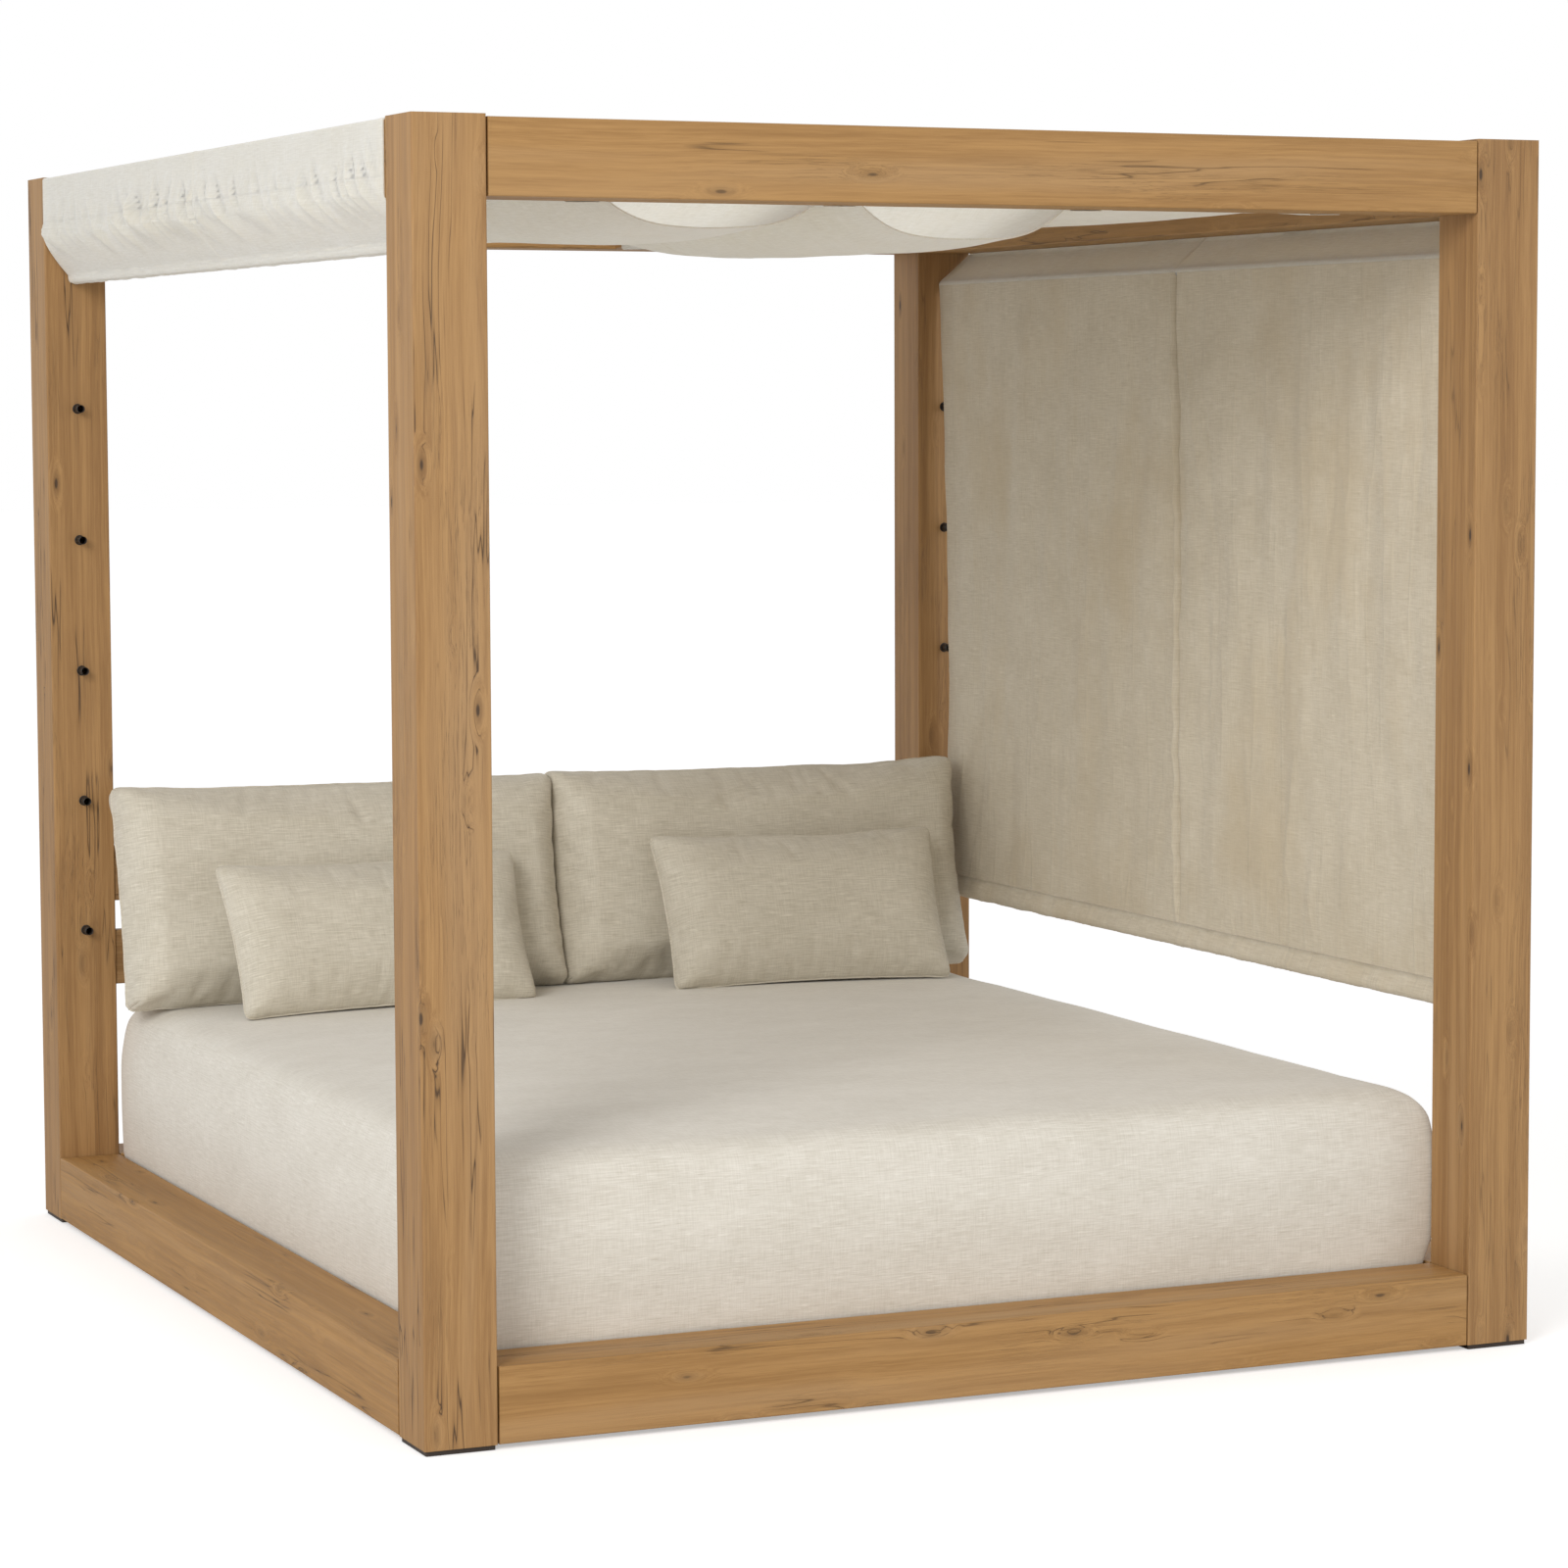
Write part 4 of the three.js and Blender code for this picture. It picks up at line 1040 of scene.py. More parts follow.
def sleeve_piece(name, node, bar, tip_angle, settings):
    """A hem sewn round its bar: a drop-shaped pocket, puckered by its stitches, its tip towards the cloth."""
    low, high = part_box(node)
    x, z, bore = bar_line(bar)
    inner = bore + 0.0003
    outer = inner + 0.0017
    spread = math.acos(outer / settings.tip)
    count = round((high.y - low.y) / 0.005)
    steps = 28
    points = []
    weave = []
    faces = []
    for station in range(count + 1):
        y = low.y + (high.y - low.y) * station / count
        swell = settings.pucker * (0.5 + 0.5 * ripple(y, 0.0, 0.010, 40.0) + ripple(y, 0.0, 0.06, 41.0))
        rounds = ([], [inner] * steps)
        for step in range(steps):
            away = math.pi - abs(math.pi - 2 * math.pi * step / steps)
            radius = outer / math.cos(max(0.0, spread - away))
            rounds[0].append(radius + swell * math.sin(min(away, spread) / spread * math.pi / 2))
        for start, radii in zip((7.0, 9.0), rounds):
            for step, radius in enumerate(radii):
                angle = tip_angle + 2 * math.pi * step / steps
                points.append((x + radius * math.cos(angle), y, z + radius * math.sin(angle)))
                weave.append((y + start, step * 0.003))
        for step in range(steps if station else 0):
            after = (step + 1) % steps
            for start, way in ((0, 1), (steps, -1)):
                here = station * 2 * steps + start
                back = here - 2 * steps
                faces.append([back + step, back + after, here + after, here + step][::way])
    for station, way in ((0, -1), (count, 1)):
        here = station * 2 * steps
        for step in range(steps):
            after = (step + 1) % steps
            faces.append([here + step, here + after, here + steps + after, here + steps + step][::way])
    piece = mesh_piece(name, points, faces)
    set_weave(piece.data, weave)
    return piece


def build_curtain(settings, material, thread):
    """The right curtain: it hangs from the guide bar, with soft folds, a seam and old creases."""
    low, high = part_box("curtain_right")
    seam = settings.seam_place
    columns = cloth_columns(seam)
    centre, _, radius = bar_line("guide_bar_right")
    reach = radius + settings.thickness / 2 + CLOTH_GAP
    span = high.z - low.z
    draw = np.random.RandomState(settings.wrinkle_seed)
    wrinkles = []
    for _ in range(settings.wrinkles):
        side = draw.choice((-1.0, 1.0))
        wrinkles.append((draw.uniform(-0.95, 0.95), draw.uniform(low.z + 0.1, high.z - 0.2),
                         draw.uniform(0.06, 0.20), draw.uniform(-0.22, 0.10),
                         side * draw.uniform(0.0015, 0.0042)))
    wrinkles.append((seam - 0.075, high.z - 0.26, 0.24, 0.26, 0.0065))
    wrinkles.append((seam - 0.150, high.z - 0.40, 0.20, 0.12, -0.0045))
    wrinkles.append((-0.46, low.z + 0.20, 0.20, -0.20, 0.0070))

    def wave(y, z, share):
        free = math.sin(math.pi * min(1.0, share * 1.04) ** 0.8) if share < 0.96 else 0.0
        soft = 0.9 * ripple(y, z * 0.16, 0.26, 20.0) + 0.75 * ripple(y + 0.05 * z, z * 0.20, 0.10, 21.0)
        soft += 0.30 * ripple(y, z * 0.30, 0.045, 25.0)
        bend = settings.fold * soft * (0.45 + 0.55 * free)
        near = math.exp(-abs(y - seam) / 0.045)
        pucker = near * 0.0070 * ripple((y - seam) * 0.8 - 0.5 * abs(y - seam), z, 0.055, 22.0)
        pucker += 0.0030 * math.exp(-abs(y - seam) / 0.016) * ripple(0.0, z, 0.017, 23.0)
        low_down = max(0.0, share - 0.45) * 1.8
        patch = max(0.0, ripple(y, z, 0.38, 28.0) + 0.05)
        slant = 0.010 * abs(ripple(y + 0.30 * z, z * 0.25, 0.065, 27.0)) * patch * (0.4 + low_down)
        ridge = 0.0090 * math.exp(-(((y - seam) + 0.0085) / 0.0042) ** 2)
        ridge -= 0.0050 * math.exp(-(((y - seam) - 0.0020) / 0.0045) ** 2)
        ridge *= min(1.0, (1 - share) * 20.0)
        for at, middle, reach, lean, depth in wrinkles:
            along = (z - middle) / reach
            if abs(along) < 1:
                off = (y - at - lean * (z - middle)) / 0.010
                if abs(off) < 3:
                    slant -= depth * (1 - along * along) * math.exp(-off * off)
        crease = 0.0
        for height in settings.crease_heights:
            crease -= 0.0016 * math.exp(-((z - height) / 0.006) ** 2) * (0.6 + ripple(y, height, 0.35, 24.0))
        return (bend + pucker + slant + crease) * min(1.0, share * 9.0, (1 - share) * 12.0) + ridge

    piece, grid = hang_sheet("curtain", (centre - reach, high.z), (centre, low.z - 0.002), columns,
                             hem_thickness(columns, settings.thickness, seam), 150, wave)
    finish_piece(piece, "frame", "canvas", material, "curtain_right")
    joint = next(joint for joint in frame["joints"] if joint["name"] == "right_bar_slide")
    keep = (span - joint["range_m"][1]) / span
    sewn = hem_columns(columns) + [np.searchsorted(columns, seam + SEAM_STITCH)]
    rows = stitches("stitches_curtain", hem_lines(grid, sewn, 0, settings.thickness * 0.6), "frame", thread)
    for part in (piece, rows):
        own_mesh(part)


def build_drop(settings, material):
    """The short left end of the cloth, from the beam's outer face round its lower edge and in to its hem."""
    low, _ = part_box("drop_left")
    beam_low, beam_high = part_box("top_beam_left")
    seam = settings.seam_place
    columns = cloth_columns(seam)
    away = settings.thickness / 2 + CLOTH_GAP
    outer = beam_low.x - away
    split = beam_low.z + SPLIT
    top = beam_high.z + away
    leave = beam_low.z + 0.008
    last = max(abs(columns[0]), columns[-1])
    line = [(outer, split + (leave - split) * step / 6) for step in range(6)]
    *bar, radius = bar_line("hem_bar_left")
    reach = radius + 0.0020 + away
    meet = (bar[0] - reach, bar[1] + 0.004)
    bend = (outer + 0.006, (leave + meet[1]) / 2 + 0.012)
    for step in range(19):
        share = step / 18
        x = outer * (1 - share) ** 2 + 2 * share * (1 - share) * bend[0] + meet[0] * share * share
        z = leave * (1 - share) ** 2 + 2 * share * (1 - share) * bend[1] + meet[1] * share * share
        line.append((x, z))
    free = len(line)
    for step in range(1, 6):
        angle = math.pi + 0.16 * step
        line.append((bar[0] + reach * math.cos(angle), bar[1] + reach * math.sin(angle)))
    run = rows_of([(x, 0.0, z) for x, z in line])
    folds = side_folds(8, low.z)

    def spot(row, y):
        x, z = line[row]
        side = side_wave(y, z, top, low.z, folds, last) if row < free else 0.0
        return (x - side, y, z), (y, -run[row])

    piece, _ = lay_sheet("drop", len(line), columns, hem_thickness(columns, settings.thickness, seam), spot)
    finish_piece(piece, None, "canvas", material, "drop_left")
    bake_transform(piece)


# Settings


class StageSettings(bpy.types.PropertyGroup):
    """The photograph's camera and the studio's lamps."""

    yaw: bpy.props.FloatProperty(
        name="Yaw", description="Camera's turn to the right of the daybed's depth",
        default=math.radians(24.590), unit="ROTATION")
    pitch: bpy.props.FloatProperty(
        name="Pitch", description="Camera's tilt below level", default=math.radians(4.832), unit="ROTATION")
    roll: bpy.props.FloatProperty(
        name="Roll", description="Camera's turn about its own axis",
        default=math.radians(0.108), unit="ROTATION")
    place: bpy.props.FloatVectorProperty(
        name="Place", description="Camera's place", default=(-3.296, -7.902, 1.658), subtype="TRANSLATION")
    focal: bpy.props.FloatProperty(
        name="Focal length", description="Focal length as a share of the picture's width",
        default=4643 / 1600)
    centre: bpy.props.FloatProperty(
        name="Centre", description="Picture's optical centre as a share of its width", default=900 / 1600)
    key: bpy.props.FloatProperty(
        name="Key lamp", description="Power of the large lamp at the front left", default=450.0, unit="POWER")
    fill: bpy.props.FloatProperty(
        name="Fill lamp", description="Power of the lamp at the front right", default=55.0, unit="POWER")
    sky: bpy.props.FloatProperty(
        name="Sky", description="Strength of the even light from all round", default=0.66)


def colour_property(name, description, default):
    """A colour that the panel shows."""
    return bpy.props.FloatVectorProperty(
        name=name, description=description, default=default, min=0.0, max=1.0, subtype="COLOR")


class ColourSettings(bpy.types.PropertyGroup):
    """The colours of the timber, the cloth and the fittings."""

    beam_light: colour_property("Beam, light", "Light wood of the beams and laths", (0.470, 0.262, 0.092))
    beam_dark: colour_property("Beam, dark", "Dark wood of the beams and laths", (0.310, 0.158, 0.046))
    post_light: colour_property("Post, light", "Light wood of the posts", (0.455, 0.258, 0.100))
    post_dark: colour_property("Post, dark", "Dark wood of the posts", (0.285, 0.146, 0.050))
    inner_light: colour_property("Deck, light", "Light wood of the deck and rails", (0.385, 0.222, 0.090))
    inner_dark: colour_property("Deck, dark", "Dark wood of the deck and rails", (0.235, 0.122, 0.042))
    canvas_pale: colour_property("Canvas, pale", "Pale threads of the canopy", (0.800, 0.762, 0.674))
    canvas_deep: colour_property("Canvas, deep", "Deep threads of the canopy", (0.645, 0.596, 0.492))
    # The curtain's colours are the canopy canvas's colours made darker and warmer: painted shade and painted
    # warm bounce light, for the curtain is the same cloth as the canopy.
    curtain_pale: colour_property("Curtain, pale", "Pale threads of the curtain", (0.745, 0.675, 0.545))
    curtain_deep: colour_property("Curtain, deep", "Deep threads of the curtain", (0.540, 0.468, 0.345))
    mattress_pale: colour_property("Mattress, pale", "Pale threads of its cover", (0.845, 0.805, 0.722))
    mattress_deep: colour_property("Mattress, deep", "Deep threads of its cover", (0.640, 0.592, 0.498))
    linen_pale: colour_property("Linen, pale", "Pale threads of the cushions", (0.765, 0.712, 0.600))
    linen_deep: colour_property("Linen, deep", "Deep threads of the cushions", (0.520, 0.468, 0.366))
    thread_pale: colour_property("Thread, pale", "Pale part of the stitches", (0.740, 0.700, 0.610))
    thread_deep: colour_property("Thread, deep", "Deep part of the stitches", (0.580, 0.540, 0.450))
    steel_colour: colour_property("Steel", "Bars, pins, brackets and screws", (0.46, 0.46, 0.47))
    bush_colour: colour_property("Bush", "Bushes of the posts' holes", (0.020, 0.014, 0.010))
    foot_colour: colour_property("Foot", "Plastic feet", (0.030, 0.018, 0.011))


class MattressSettings(bpy.types.PropertyGroup):
    """The mattress's form."""

    edge: bpy.props.FloatProperty(
        name="Edge", description="Radius of the rounded top edges", default=0.050, unit="LENGTH")
    square: bpy.props.FloatProperty(
        name="Squareness", description="How square the upright corners and the bottom edges are", default=7.0)
    crown: bpy.props.FloatProperty(
        name="Crown", description="Rise of the top's middle above its edges", default=0.014, unit="LENGTH")
    overhang: bpy.props.FloatProperty(
        name="Overhang", description="How far the right side swells out over the frame",
        default=0.020, unit="LENGTH")
    spread: bpy.props.FloatVectorProperty(
        name="Spread", description="How far the lower part spreads towards the frame, across and along it",
        size=2, default=(0.014, 0.012), unit="LENGTH")
    pitch: bpy.props.FloatProperty(
        name="Pitch", description="Size of the mesh's faces", default=0.024, unit="LENGTH")
    pressure: bpy.props.FloatProperty(
        name="Pressure", description="Pressure of the cloth simulation", default=1.5)
    cap: bpy.props.FloatProperty(
        name="Cap", description="Furthest that a point may swell", default=0.003, unit="LENGTH")


class CushionSettings(bpy.types.PropertyGroup):
    """The form of the back cushions and the pillows."""

    cushion_size: bpy.props.FloatVectorProperty(
        name="Cushion size", description="Back cushion's width, thickness before it swells, and height",
        default=(0.931, 0.150, 0.448), subtype="XYZ_LENGTH")
    cushion_lean: bpy.props.FloatProperty(
        name="Cushion lean", description="Back cushion's lean to the back",
        default=math.radians(12.5), unit="ROTATION")
    pillow_size_left: bpy.props.FloatVectorProperty(
        name="Left pillow size", description="Left pillow's width, thickness before it swells, and height",
        default=(0.626, 0.104, 0.318), subtype="XYZ_LENGTH")
    pillow_size_right: bpy.props.FloatVectorProperty(
        name="Right pillow size", description="Right pillow's width, thickness before it swells, and height",
        default=(0.608, 0.108, 0.334), subtype="XYZ_LENGTH")
    pillow_lean: bpy.props.FloatProperty(
        name="Pillow lean", description="Pillow's lean to the back",
        default=math.radians(25.0), unit="ROTATION")
    pillow_turns: bpy.props.FloatVectorProperty(
        name="Pillow turns", description="Turn of the left and of the right pillow", size=2,
        default=(math.radians(5.0), math.radians(-3.0)), unit="ROTATION")
    pitch: bpy.props.FloatProperty(
        name="Pitch", description="Size of the mesh's faces", default=0.0105, unit="LENGTH")
    pressure: bpy.props.FloatProperty(
        name="Pressure", description="Pressure of the cloth simulation", default=4.0)
    cap: bpy.props.FloatProperty(
        name="Cap", description="Furthest that a point may swell", default=0.022, unit="LENGTH")


class ClothSettings(bpy.types.PropertyGroup):
    """The one long cloth: canopy, left drop, right curtain and their hems."""

    thickness: bpy.props.FloatProperty(
        name="Thickness", description="Cloth's thickness", default=0.0014, unit="LENGTH")
    sag_places: bpy.props.FloatVectorProperty(
        name="Sag places", description="Places from front to back at which the swags' sags are given", size=6,
        default=(-1.064, -0.880, -0.550, 0.0, 0.550, 1.064), unit="LENGTH")
    left_sags: bpy.props.FloatVectorProperty(
        name="Left sags", description="Sags of the left swag", size=6,
        default=(0.0503, 0.0718, 0.0867, 0.0741, 0.0576, 0.0275), unit="LENGTH")
    middle_sags: bpy.props.FloatVectorProperty(
        name="Middle sags", description="Sags of the middle swag", size=6,
        default=(0.0635, 0.0875, 0.0977, 0.0980, 0.0370, 0.0044), unit="LENGTH")
    right_sags: bpy.props.FloatVectorProperty(
        name="Right sags", description="Sags of the right swag", size=6,
        default=(0.0080, 0.0240, 0.0380, 0.0430, 0.0330, 0.0140), unit="LENGTH")
    end_sag: bpy.props.FloatProperty(
        name="End sag", description="Sag between the outer laths and the beams", default=0.004, unit="LENGTH")
    roundness: bpy.props.FloatProperty(
        name="Roundness", description="Shape of a swag: 2 is a parabola, more is flatter below", default=3.4)
    narrowing: bpy.props.FloatProperty(
        name="Narrowing", description="How far each hem is drawn in between the beams",
        default=0.032, unit="LENGTH")
    crease: bpy.props.FloatProperty(
        name="Crease", description="Height of the swags' creases", default=0.0035, unit="LENGTH")
    lath: bpy.props.FloatProperty(
        name="Lath", description="Thickness of the laths under the canopy", default=0.0097, unit="LENGTH")
    fold: bpy.props.FloatProperty(
        name="Fold", description="Depth of the curtain's soft folds", default=0.0150, unit="LENGTH")
    seam_place: bpy.props.FloatProperty(
        name="Seam", description="Place of the curtain's seam along its width", default=-0.004, unit="LENGTH")
    crease_heights: bpy.props.FloatVectorProperty(
        name="Crease heights", description="Heights of the curtain's old fold lines", size=2,
        default=(1.512, 1.070), unit="LENGTH")
    wrinkles: bpy.props.IntProperty(
        name="Wrinkles", description="Number of small creases on the curtain", default=34)
    wrinkle_seed: bpy.props.IntProperty(
        name="Wrinkle seed", description="Start of the random places of the curtain's creases", default=7)
    tip: bpy.props.FloatProperty(
        name="Hem depth", description="Distance from a hem's bar to the hem's stitch line",
        default=0.0335, unit="LENGTH")
    pucker: bpy.props.FloatProperty(
        name="Pucker", description="Height of the hems' puckers", default=0.0016, unit="LENGTH")


# Looks


LOOKS = {
    "timber_x": (timber_material, "beam", {"axis": "x", "cracked": 0.35}),
    "timber_y": (timber_material, "beam", {"axis": "y", "cracked": 0.35}),
    "timber_z": (timber_material, "post", {"axis": "z", "cracked": 1.0}),
    "inner_x": (timber_material, "inner", {"axis": "x", "cracked": 0.5}),
    "inner_y": (timber_material, "inner", {"axis": "y", "cracked": 0.5}),
    "canvas": (fabric_material, "canvas", {
        "streaks": 0.8, "bump": 0.4, "sheen": 0.30, "worn": 0.25, "through": 0.65}),
    # The curtain's look is the canvas's weave in darker, warmer colours: painted shade and painted warm
    # bounce light.
    "curtain": (fabric_material, "curtain", {"streaks": 0.8, "bump": 0.5, "sheen": 0.20, "worn": 1.0}),
    "mattress": (fabric_material, "mattress", {"streaks": 1.0, "bump": 0.45, "sheen": 0.35}),
    "linen": (fabric_material, "linen", {"streaks": 1.0, "bump": 0.5, "sheen": 0.20}),
    "thread": (fabric_material, "thread", {"streaks": 0.3, "bump": 0.2, "sheen": 0.25}),
    "steel": (steel_material, "steel", {"roughness": 0.34}),
    "bush": (plastic_material, "bush", {"roughness": 0.5}),
    "foot": (plastic_material, "foot", {"roughness": 0.55}),
}
SHADES = {timber_material: ("light", "dark"), fabric_material: ("pale", "deep"),
          steel_material: ("colour",), plastic_material: ("colour",)}


@functools.cache
def look(name):
    """The material of this name, made on its first use and shared after it."""
    kind, finish, numbers = LOOKS[name]
    settings = bpy.context.scene.daybed_colours
    shades = {shade: (*getattr(settings, f"{finish}_{shade}"), 1.0) for shade in SHADES[kind]}
    return kind(name, **shades, **numbers)


# Operators


class DAYBED_OT_timber(bpy.types.Operator):
    """Gives every timber its wood, with the grain along its length"""

    bl_idname = "daybed.timber"
    bl_label = "Timber"

    def execute(self, context):
        """Dresses the wooden solids and the feet."""
        for name, piece in frame["nodes"].items():
            low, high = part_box(name)
            axis = "xyz"[max(range(3), key=lambda part: high[part] - low[part])]
            if name.startswith(("post_", "top_beam", "bottom_beam", "cross_lath")):
                dress(piece, look("timber_" + axis))
            elif name.startswith(("deck_slat", "deck_ledger", "deck_centre_rail", "back_rail")):
                dress(piece, look("inner_" + axis))
            elif name.startswith("foot_") or name == "deck_centre_foot":
                dress(piece, look("foot"))
        return {"FINISHED"}


class DAYBED_OT_fittings(bpy.types.Operator):
    """Dresses the steel pieces, and sets the bushes in the posts' holes and the bolts in the brackets"""

    bl_idname = "daybed.fittings"
    bl_label = "Fittings"

    def execute(self, context):
        """Dresses the bars, pins and brackets, and makes the repeated fittings."""
        for name, piece in frame["nodes"].items():
            if name.startswith(("hem_bar", "guide_bar", "pin_", "corner_bracket")):
                dress(piece, look("steel"))
        lowest, top = (bar_line(bar)[1] for bar in ("hem_bar_right", "guide_bar_right"))
        pitch = (top - lowest) / (HOLES - 1)
        places = []
        bolts = []
        for side, sign in SIDES.items():
            for end, way in ENDS.items():
                low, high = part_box(f"post_{end}_{side}")
                face = high.y if way < 0 else low.y
                for number in range(HOLES):
                    point = ((low.x + high.x) / 2, face, lowest + pitch * number)
                    places.append((point, (0.0, -way, 0.0)))
                low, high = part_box(f"corner_bracket_{end}_{side}")
                x, y = high.x if sign > 0 else low.x, high.y if way > 0 else low.y
                level = (low.z + high.z) / 2
                for place in (0.024, 0.046):
                    bolts.append(((x - sign * 0.0045, y - way * place, level), (-sign, 0.0, 0.0)))
                    bolts.append(((x - sign * place, y - way * 0.0045, level), (0.0, -way, 0.0)))
        rings("bushes", places, "foot", look("bush"), bore=0.0087, rim=0.0028, depth=0.0016)
        deeper = [((x, y + facing[1] * 0.014, z), facing) for (x, y, z), facing in places]
        rings("liners", deeper, "foot", look("bush"), bore=0.0076, rim=0.0006, depth=0.028)
        studs("bracket_bolts", bolts, radius=0.0070, height=0.0036)
        screws = []
        for number in range(1, 10):
            low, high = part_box(f"deck_slat_{number}")
            for x in (low.x + 0.014, 0.0, high.x - 0.014):
                screws.append(((x, (low.y + high.y) / 2, high.z), (0.0, 0.0, 1.0)))
        studs("slat_screws", screws, radius=0.0042, height=0.0008)
        return {"FINISHED"}


class DAYBED_OT_mattress(bpy.types.Operator):
    """Makes the mattress in its fitted cover"""

    bl_idname = "daybed.mattress"
    bl_label = "Mattress"

    def execute(self, context):
        """Builds, swells and dresses the mattress."""
        settings = context.scene.daybed_mattress
        piece = mattress_piece(settings)
        simulate(piece, settings.pressure, settings.cap, stretch=0.0, frames=12)
        low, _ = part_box("mattress")
        points = get_points(piece.data)
        points[:, 2] = np.maximum(points[:, 2], low.z)
        set_points(piece.data, points)
        subdivide(piece)
        box_weave(piece.data)
        finish_piece(piece, "frame", "mattress_linen", look("mattress"), "mattress")
        return {"FINISHED"}


class DAYBED_OT_back_cushions(bpy.types.Operator):
    """Makes the two back cushions"""

    bl_idname = "daybed.back_cushions"
    bl_label = "Back cushions"

    def execute(self, context):
        """Stuffs the cushions and leans them at the back."""
        settings = context.scene.daybed_cushions
        pad = Pad(settings.cushion_size, settings.pitch, edge=0.064, square=3.0, corner=0.018, pull=0.003,
                  crown=0.13)
        for side, sign in SIDES.items():
            place = sign * (settings.cushion_size[0] / 2 - 0.006)
            stuffed("back_cushion_" + side, pad, place, settings.cushion_lean, 0.0, settings.pressure,
                    settings.cap, seed=2.0 + sign, stop=sign * CLOTH_GAP)
        return {"FINISHED"}


class DAYBED_OT_pillows(bpy.types.Operator):
    """Makes the two pillows"""

    bl_idname = "daybed.pillows"
    bl_label = "Pillows"

    def execute(self, context):
        """Stuffs the pillows and leans them on the cushions."""
        settings = context.scene.daybed_cushions
        sizes = (settings.pillow_size_left, settings.pillow_size_right)
        for number, side in enumerate(SIDES):
            pad = Pad(sizes[number], settings.pitch * 0.8, edge=0.085, square=2.1, corner=0.016, pull=0.008,
                      crown=0.14, flare=0.008)
            low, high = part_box("pillow_" + side)
            place = (low.x + high.x) / 2 + 0.016 * number
            stuffed("pillow_" + side, pad, place, settings.pillow_lean, settings.pillow_turns[number],
                    settings.pressure, settings.cap * 0.7, seed=12.0 + number)
        return {"FINISHED"}


class DAYBED_OT_cloth(bpy.types.Operator):
    """Hangs the one long cloth: canopy, left drop and right curtain"""

    bl_idname = "daybed.cloth"
    bl_label = "Cloth"

    def execute(self, context):
        """Builds the canopy, the drop and the curtain."""
        settings = context.scene.daybed_cloth
        build_canopy(settings, look("canvas"), look("thread"))
        build_drop(settings, look("canvas"))
        # The curtain wears the canvas darkened and warmed: painted shade and painted warm bounce light.
        build_curtain(settings, look("curtain"), look("thread"))
        return {"FINISHED"}


class DAYBED_OT_hems(bpy.types.Operator):
    """Sews the cloth's two ends round their hem bars"""

    bl_idname = "daybed.hems"
    bl_label = "Hems"

    def execute(self, context):
        """Builds the two hem sleeves and their stitches."""
        settings = context.scene.daybed_cloth
        drop_low, drop_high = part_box("drop_left")
        x, z, _ = bar_line("hem_bar_left")
        slant = math.atan2(drop_high.z - z, drop_low.x - x)
        for side, angle in (("left", slant), ("right", math.pi / 2)):
            node = "hem_sleeve_" + side
            sleeve = sleeve_piece("hem_" + side, node, "hem_bar_" + side, angle, settings)
            # The right hem belongs to the curtain and wears its colours, with their painted shade and painted
            # warm bounce light.
            cloth = "curtain" if side == "right" else "canvas"
            finish_piece(sleeve, side + "_bar", "canvas", look(cloth), node)
            low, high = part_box(node)
            x, z, _ = bar_line("hem_bar_" + side)
            lines = []
            for off in (0.0042, -0.0042):
                out = (x + HEM_STITCH * math.cos(angle) - off * math.sin(angle),
                       z + HEM_STITCH * math.sin(angle) + off * math.cos(angle))
                lines.append([(out[0], low.y + 0.004, out[1]), (out[0], high.y - 0.004, out[1])])
            stitches("stitches_hem_" + side, lines, side + "_bar", look("thread"))
        return {"FINISHED"}


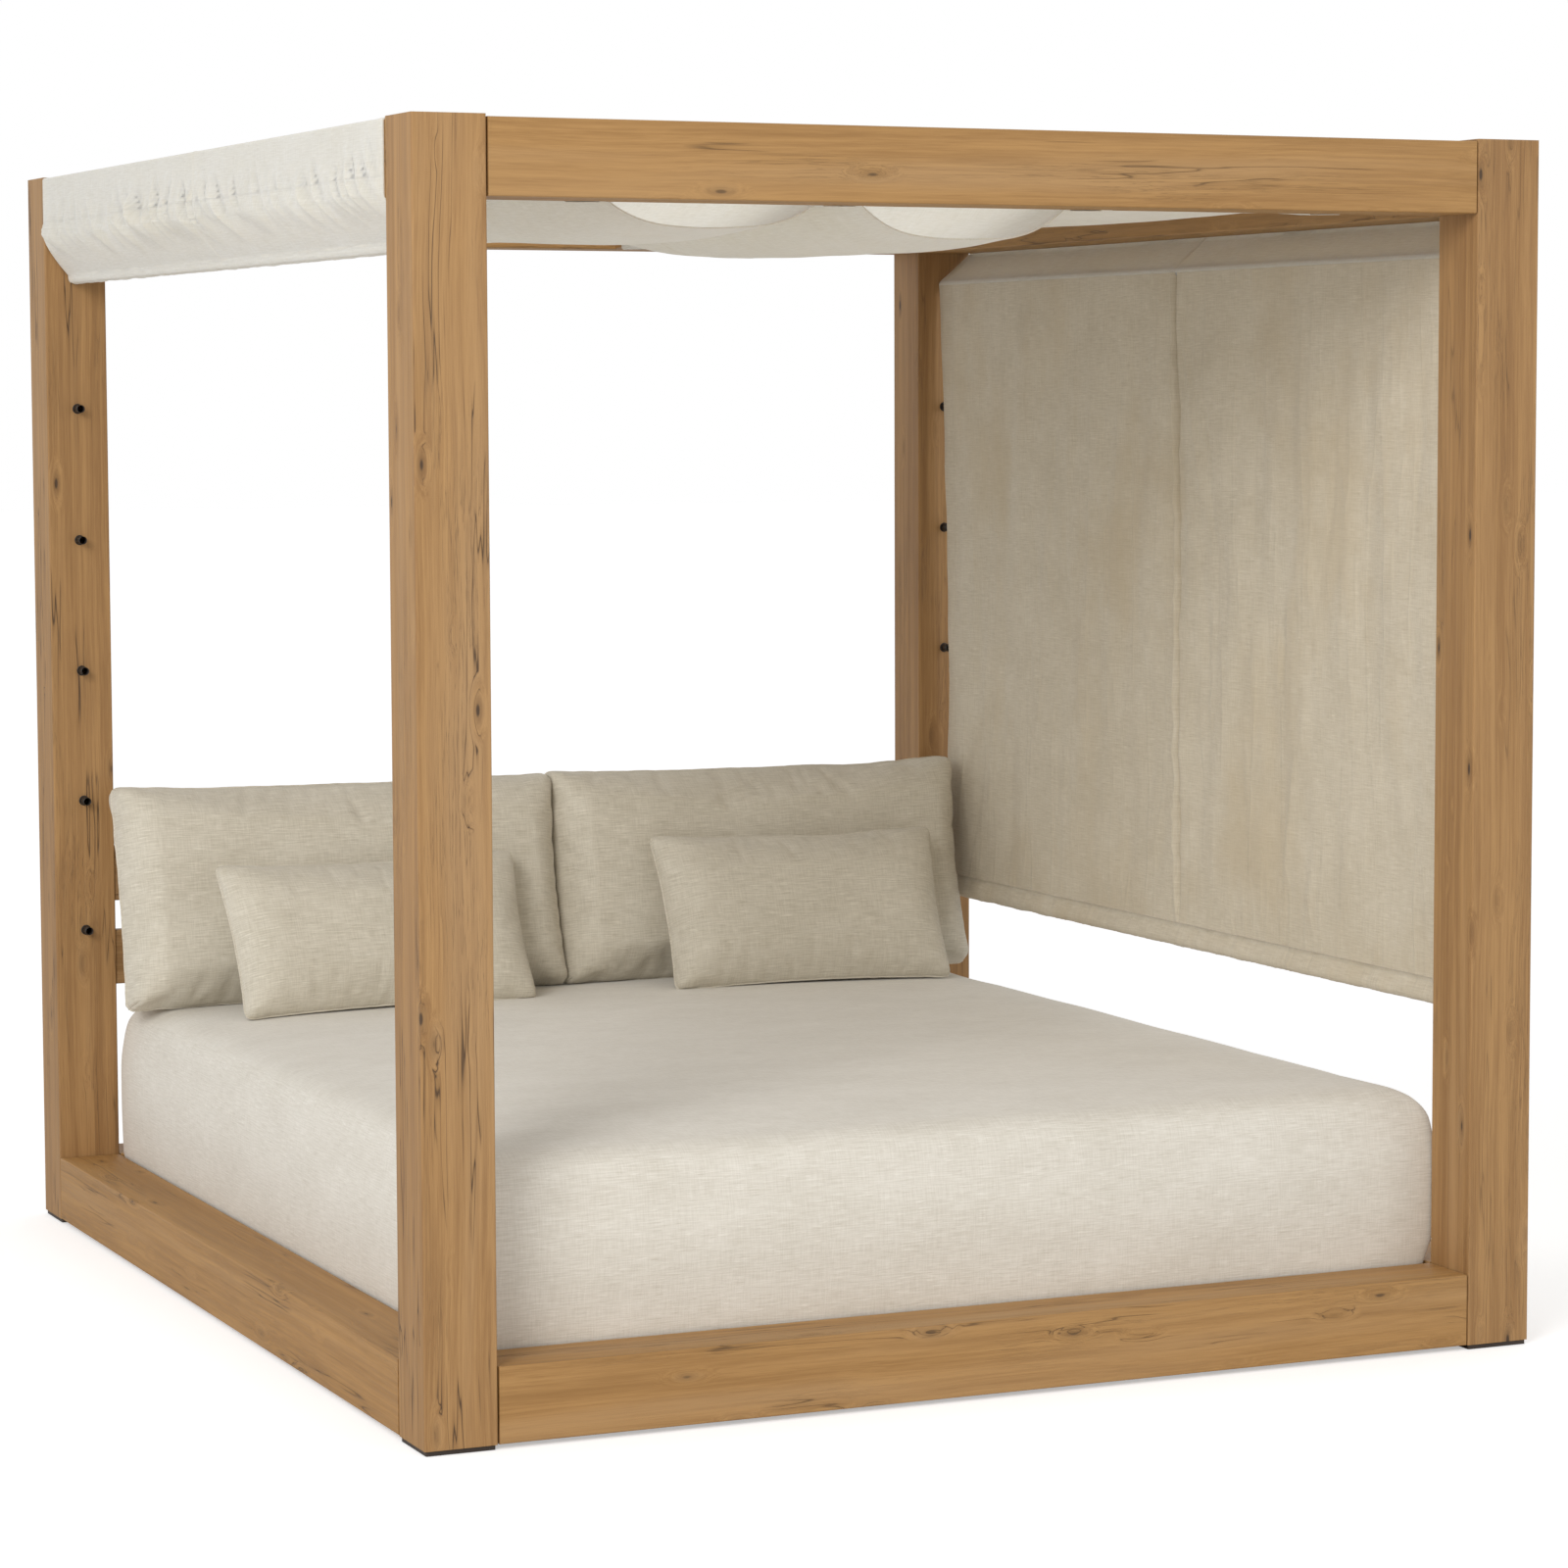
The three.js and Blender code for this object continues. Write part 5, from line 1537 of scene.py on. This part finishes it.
class DAYBED_OT_stage(bpy.types.Operator):
    """Sets the floor, the lamps and the photograph's camera"""

    bl_idname = "daybed.stage"
    bl_label = "Stage"

    def execute(self, context):
        """Builds the stage."""
        settings = context.scene.daybed_stage
        scene = context.scene
        scene.view_settings.view_transform = "Standard"
        yaw, pitch, roll = settings.yaw, settings.pitch, settings.roll
        ahead = Vector((math.sin(yaw) * math.cos(pitch), math.cos(yaw) * math.cos(pitch), -math.sin(pitch)))
        right = Vector((math.cos(yaw), -math.sin(yaw), 0.0))
        down = ahead.cross(right)
        across = right * math.cos(roll) + down * math.sin(roll)
        below = down * math.cos(roll) - right * math.sin(roll)
        data = bpy.data.cameras.new("photo_camera")
        data.sensor_width = 36.0
        data.lens = settings.focal * data.sensor_width
        data.shift_x = 0.5 - settings.centre
        data.clip_end = 100.0
        camera = bpy.data.objects.new("photo_camera", data)
        scene.collection.objects.link(camera)
        camera.matrix_world = Matrix((
            (across.x, -below.x, -ahead.x, settings.place[0]),
            (across.y, -below.y, -ahead.y, settings.place[1]),
            (across.z, -below.z, -ahead.z, settings.place[2]),
            (0.0, 0.0, 0.0, 1.0)))
        scene.camera = camera
        self.floor()
        self.world(scene, settings.sky)
        self.lamp("key", place=(-7.0, -7.2, 5.2), target=(0.0, 0.0, 0.9), size=4.5, power=settings.key)
        self.lamp("fill", place=(5.0, -8.0, 3.0), target=(0.0, 0.0, 0.9), size=4.0, power=settings.fill)
        return {"FINISHED"}

    def floor(self):
        """A wide pale floor that shows as white to the camera and keeps the object's shadow."""
        size = 60.0
        corners = [(x, y, -0.0005) for x, y in ((-size, -size), (size, -size), (size, size), (-size, size))]
        floor = mesh_piece("floor", corners, [(0, 1, 2, 3)], smooth=False)
        shader = Shader("floor")
        ray = shader.node("ShaderNodeLightPath")
        shader.set(Base_Color=(0.86, 0.86, 0.86, 1.0), Roughness=0.9,
                   Emission_Color=shader.blend(ray, (0.0, 0.0, 0.0, 1.0), (1.0, 1.0, 1.0, 1.0)),
                   Emission_Strength=0.42)
        dress(floor, shader.material)

    def world(self, scene, strength):
        """An even sky that shows as white behind the object."""
        world = bpy.data.worlds.new("studio")
        world.use_nodes = True
        scene.world = world
        tree = world.node_tree
        background = tree.nodes["Background"]
        path = tree.nodes.new("ShaderNodeLightPath")
        shown = tree.nodes.new("ShaderNodeMath")
        shown.operation = "MAXIMUM"
        tree.links.new(path.outputs["Is Camera Ray"], shown.inputs[0])
        tree.links.new(path.outputs["Is Glossy Ray"], shown.inputs[1])
        level = tree.nodes.new("ShaderNodeMapRange")
        level.inputs["To Min"].default_value = strength
        level.inputs["To Max"].default_value = 1.0
        tree.links.new(shown.outputs[0], level.inputs["Value"])
        tree.links.new(level.outputs[0], background.inputs["Strength"])
        background.inputs["Color"].default_value = (1.0, 1.0, 1.0, 1.0)

    def lamp(self, name, place, target, size, power):
        """A large soft lamp that looks at a point."""
        data = bpy.data.lights.new(name, "AREA")
        data.shape = "DISK"
        data.size = size
        data.energy = power
        lamp = bpy.data.objects.new(name, data)
        bpy.context.scene.collection.objects.link(lamp)
        lamp.location = place
        lamp.rotation_euler = (Vector(target) - Vector(place)).to_track_quat("-Z", "Y").to_euler()


STEPS = [DAYBED_OT_stage, DAYBED_OT_timber, DAYBED_OT_fittings, DAYBED_OT_mattress, DAYBED_OT_back_cushions,
         DAYBED_OT_pillows, DAYBED_OT_cloth, DAYBED_OT_hems]
SETTINGS = {"daybed_stage": StageSettings, "daybed_colours": ColourSettings,
            "daybed_mattress": MattressSettings, "daybed_cushions": CushionSettings,
            "daybed_cloth": ClothSettings}


class DAYBED_PT_panel(bpy.types.Panel):
    """The daybed's settings and steps, in the sidebar"""

    bl_idname = "DAYBED_PT_panel"
    bl_label = "Outdoor Daybed"
    bl_space_type = "VIEW_3D"
    bl_region_type = "UI"
    bl_category = "Daybed"

    def draw(self, context):
        """Draws every setting and every step's button."""
        for name, kind in SETTINGS.items():
            box = self.layout.box()
            box.label(text=kind.__doc__)
            for key in kind.__annotations__:
                box.prop(getattr(context.scene, name), key)
        for step in STEPS:
            self.layout.operator(step.bl_idname)


def register():
    """Registers the settings, the operators and the panel."""
    for kind in list(SETTINGS.values()) + STEPS + [DAYBED_PT_panel]:
        bpy.utils.register_class(kind)
    for name, kind in SETTINGS.items():
        setattr(bpy.types.Scene, name, bpy.props.PointerProperty(type=kind))


def unregister():
    """Takes the settings, the operators and the panel away."""
    for name in SETTINGS:
        delattr(bpy.types.Scene, name)
    for kind in reversed(list(SETTINGS.values()) + STEPS + [DAYBED_PT_panel]):
        bpy.utils.unregister_class(kind)


def main():
    """Builds the whole scene."""
    register()
    for step in STEPS:
        group, name = step.bl_idname.split(".")
        getattr(getattr(bpy.ops, group), name)()


if __name__ == "__main__":
    main()
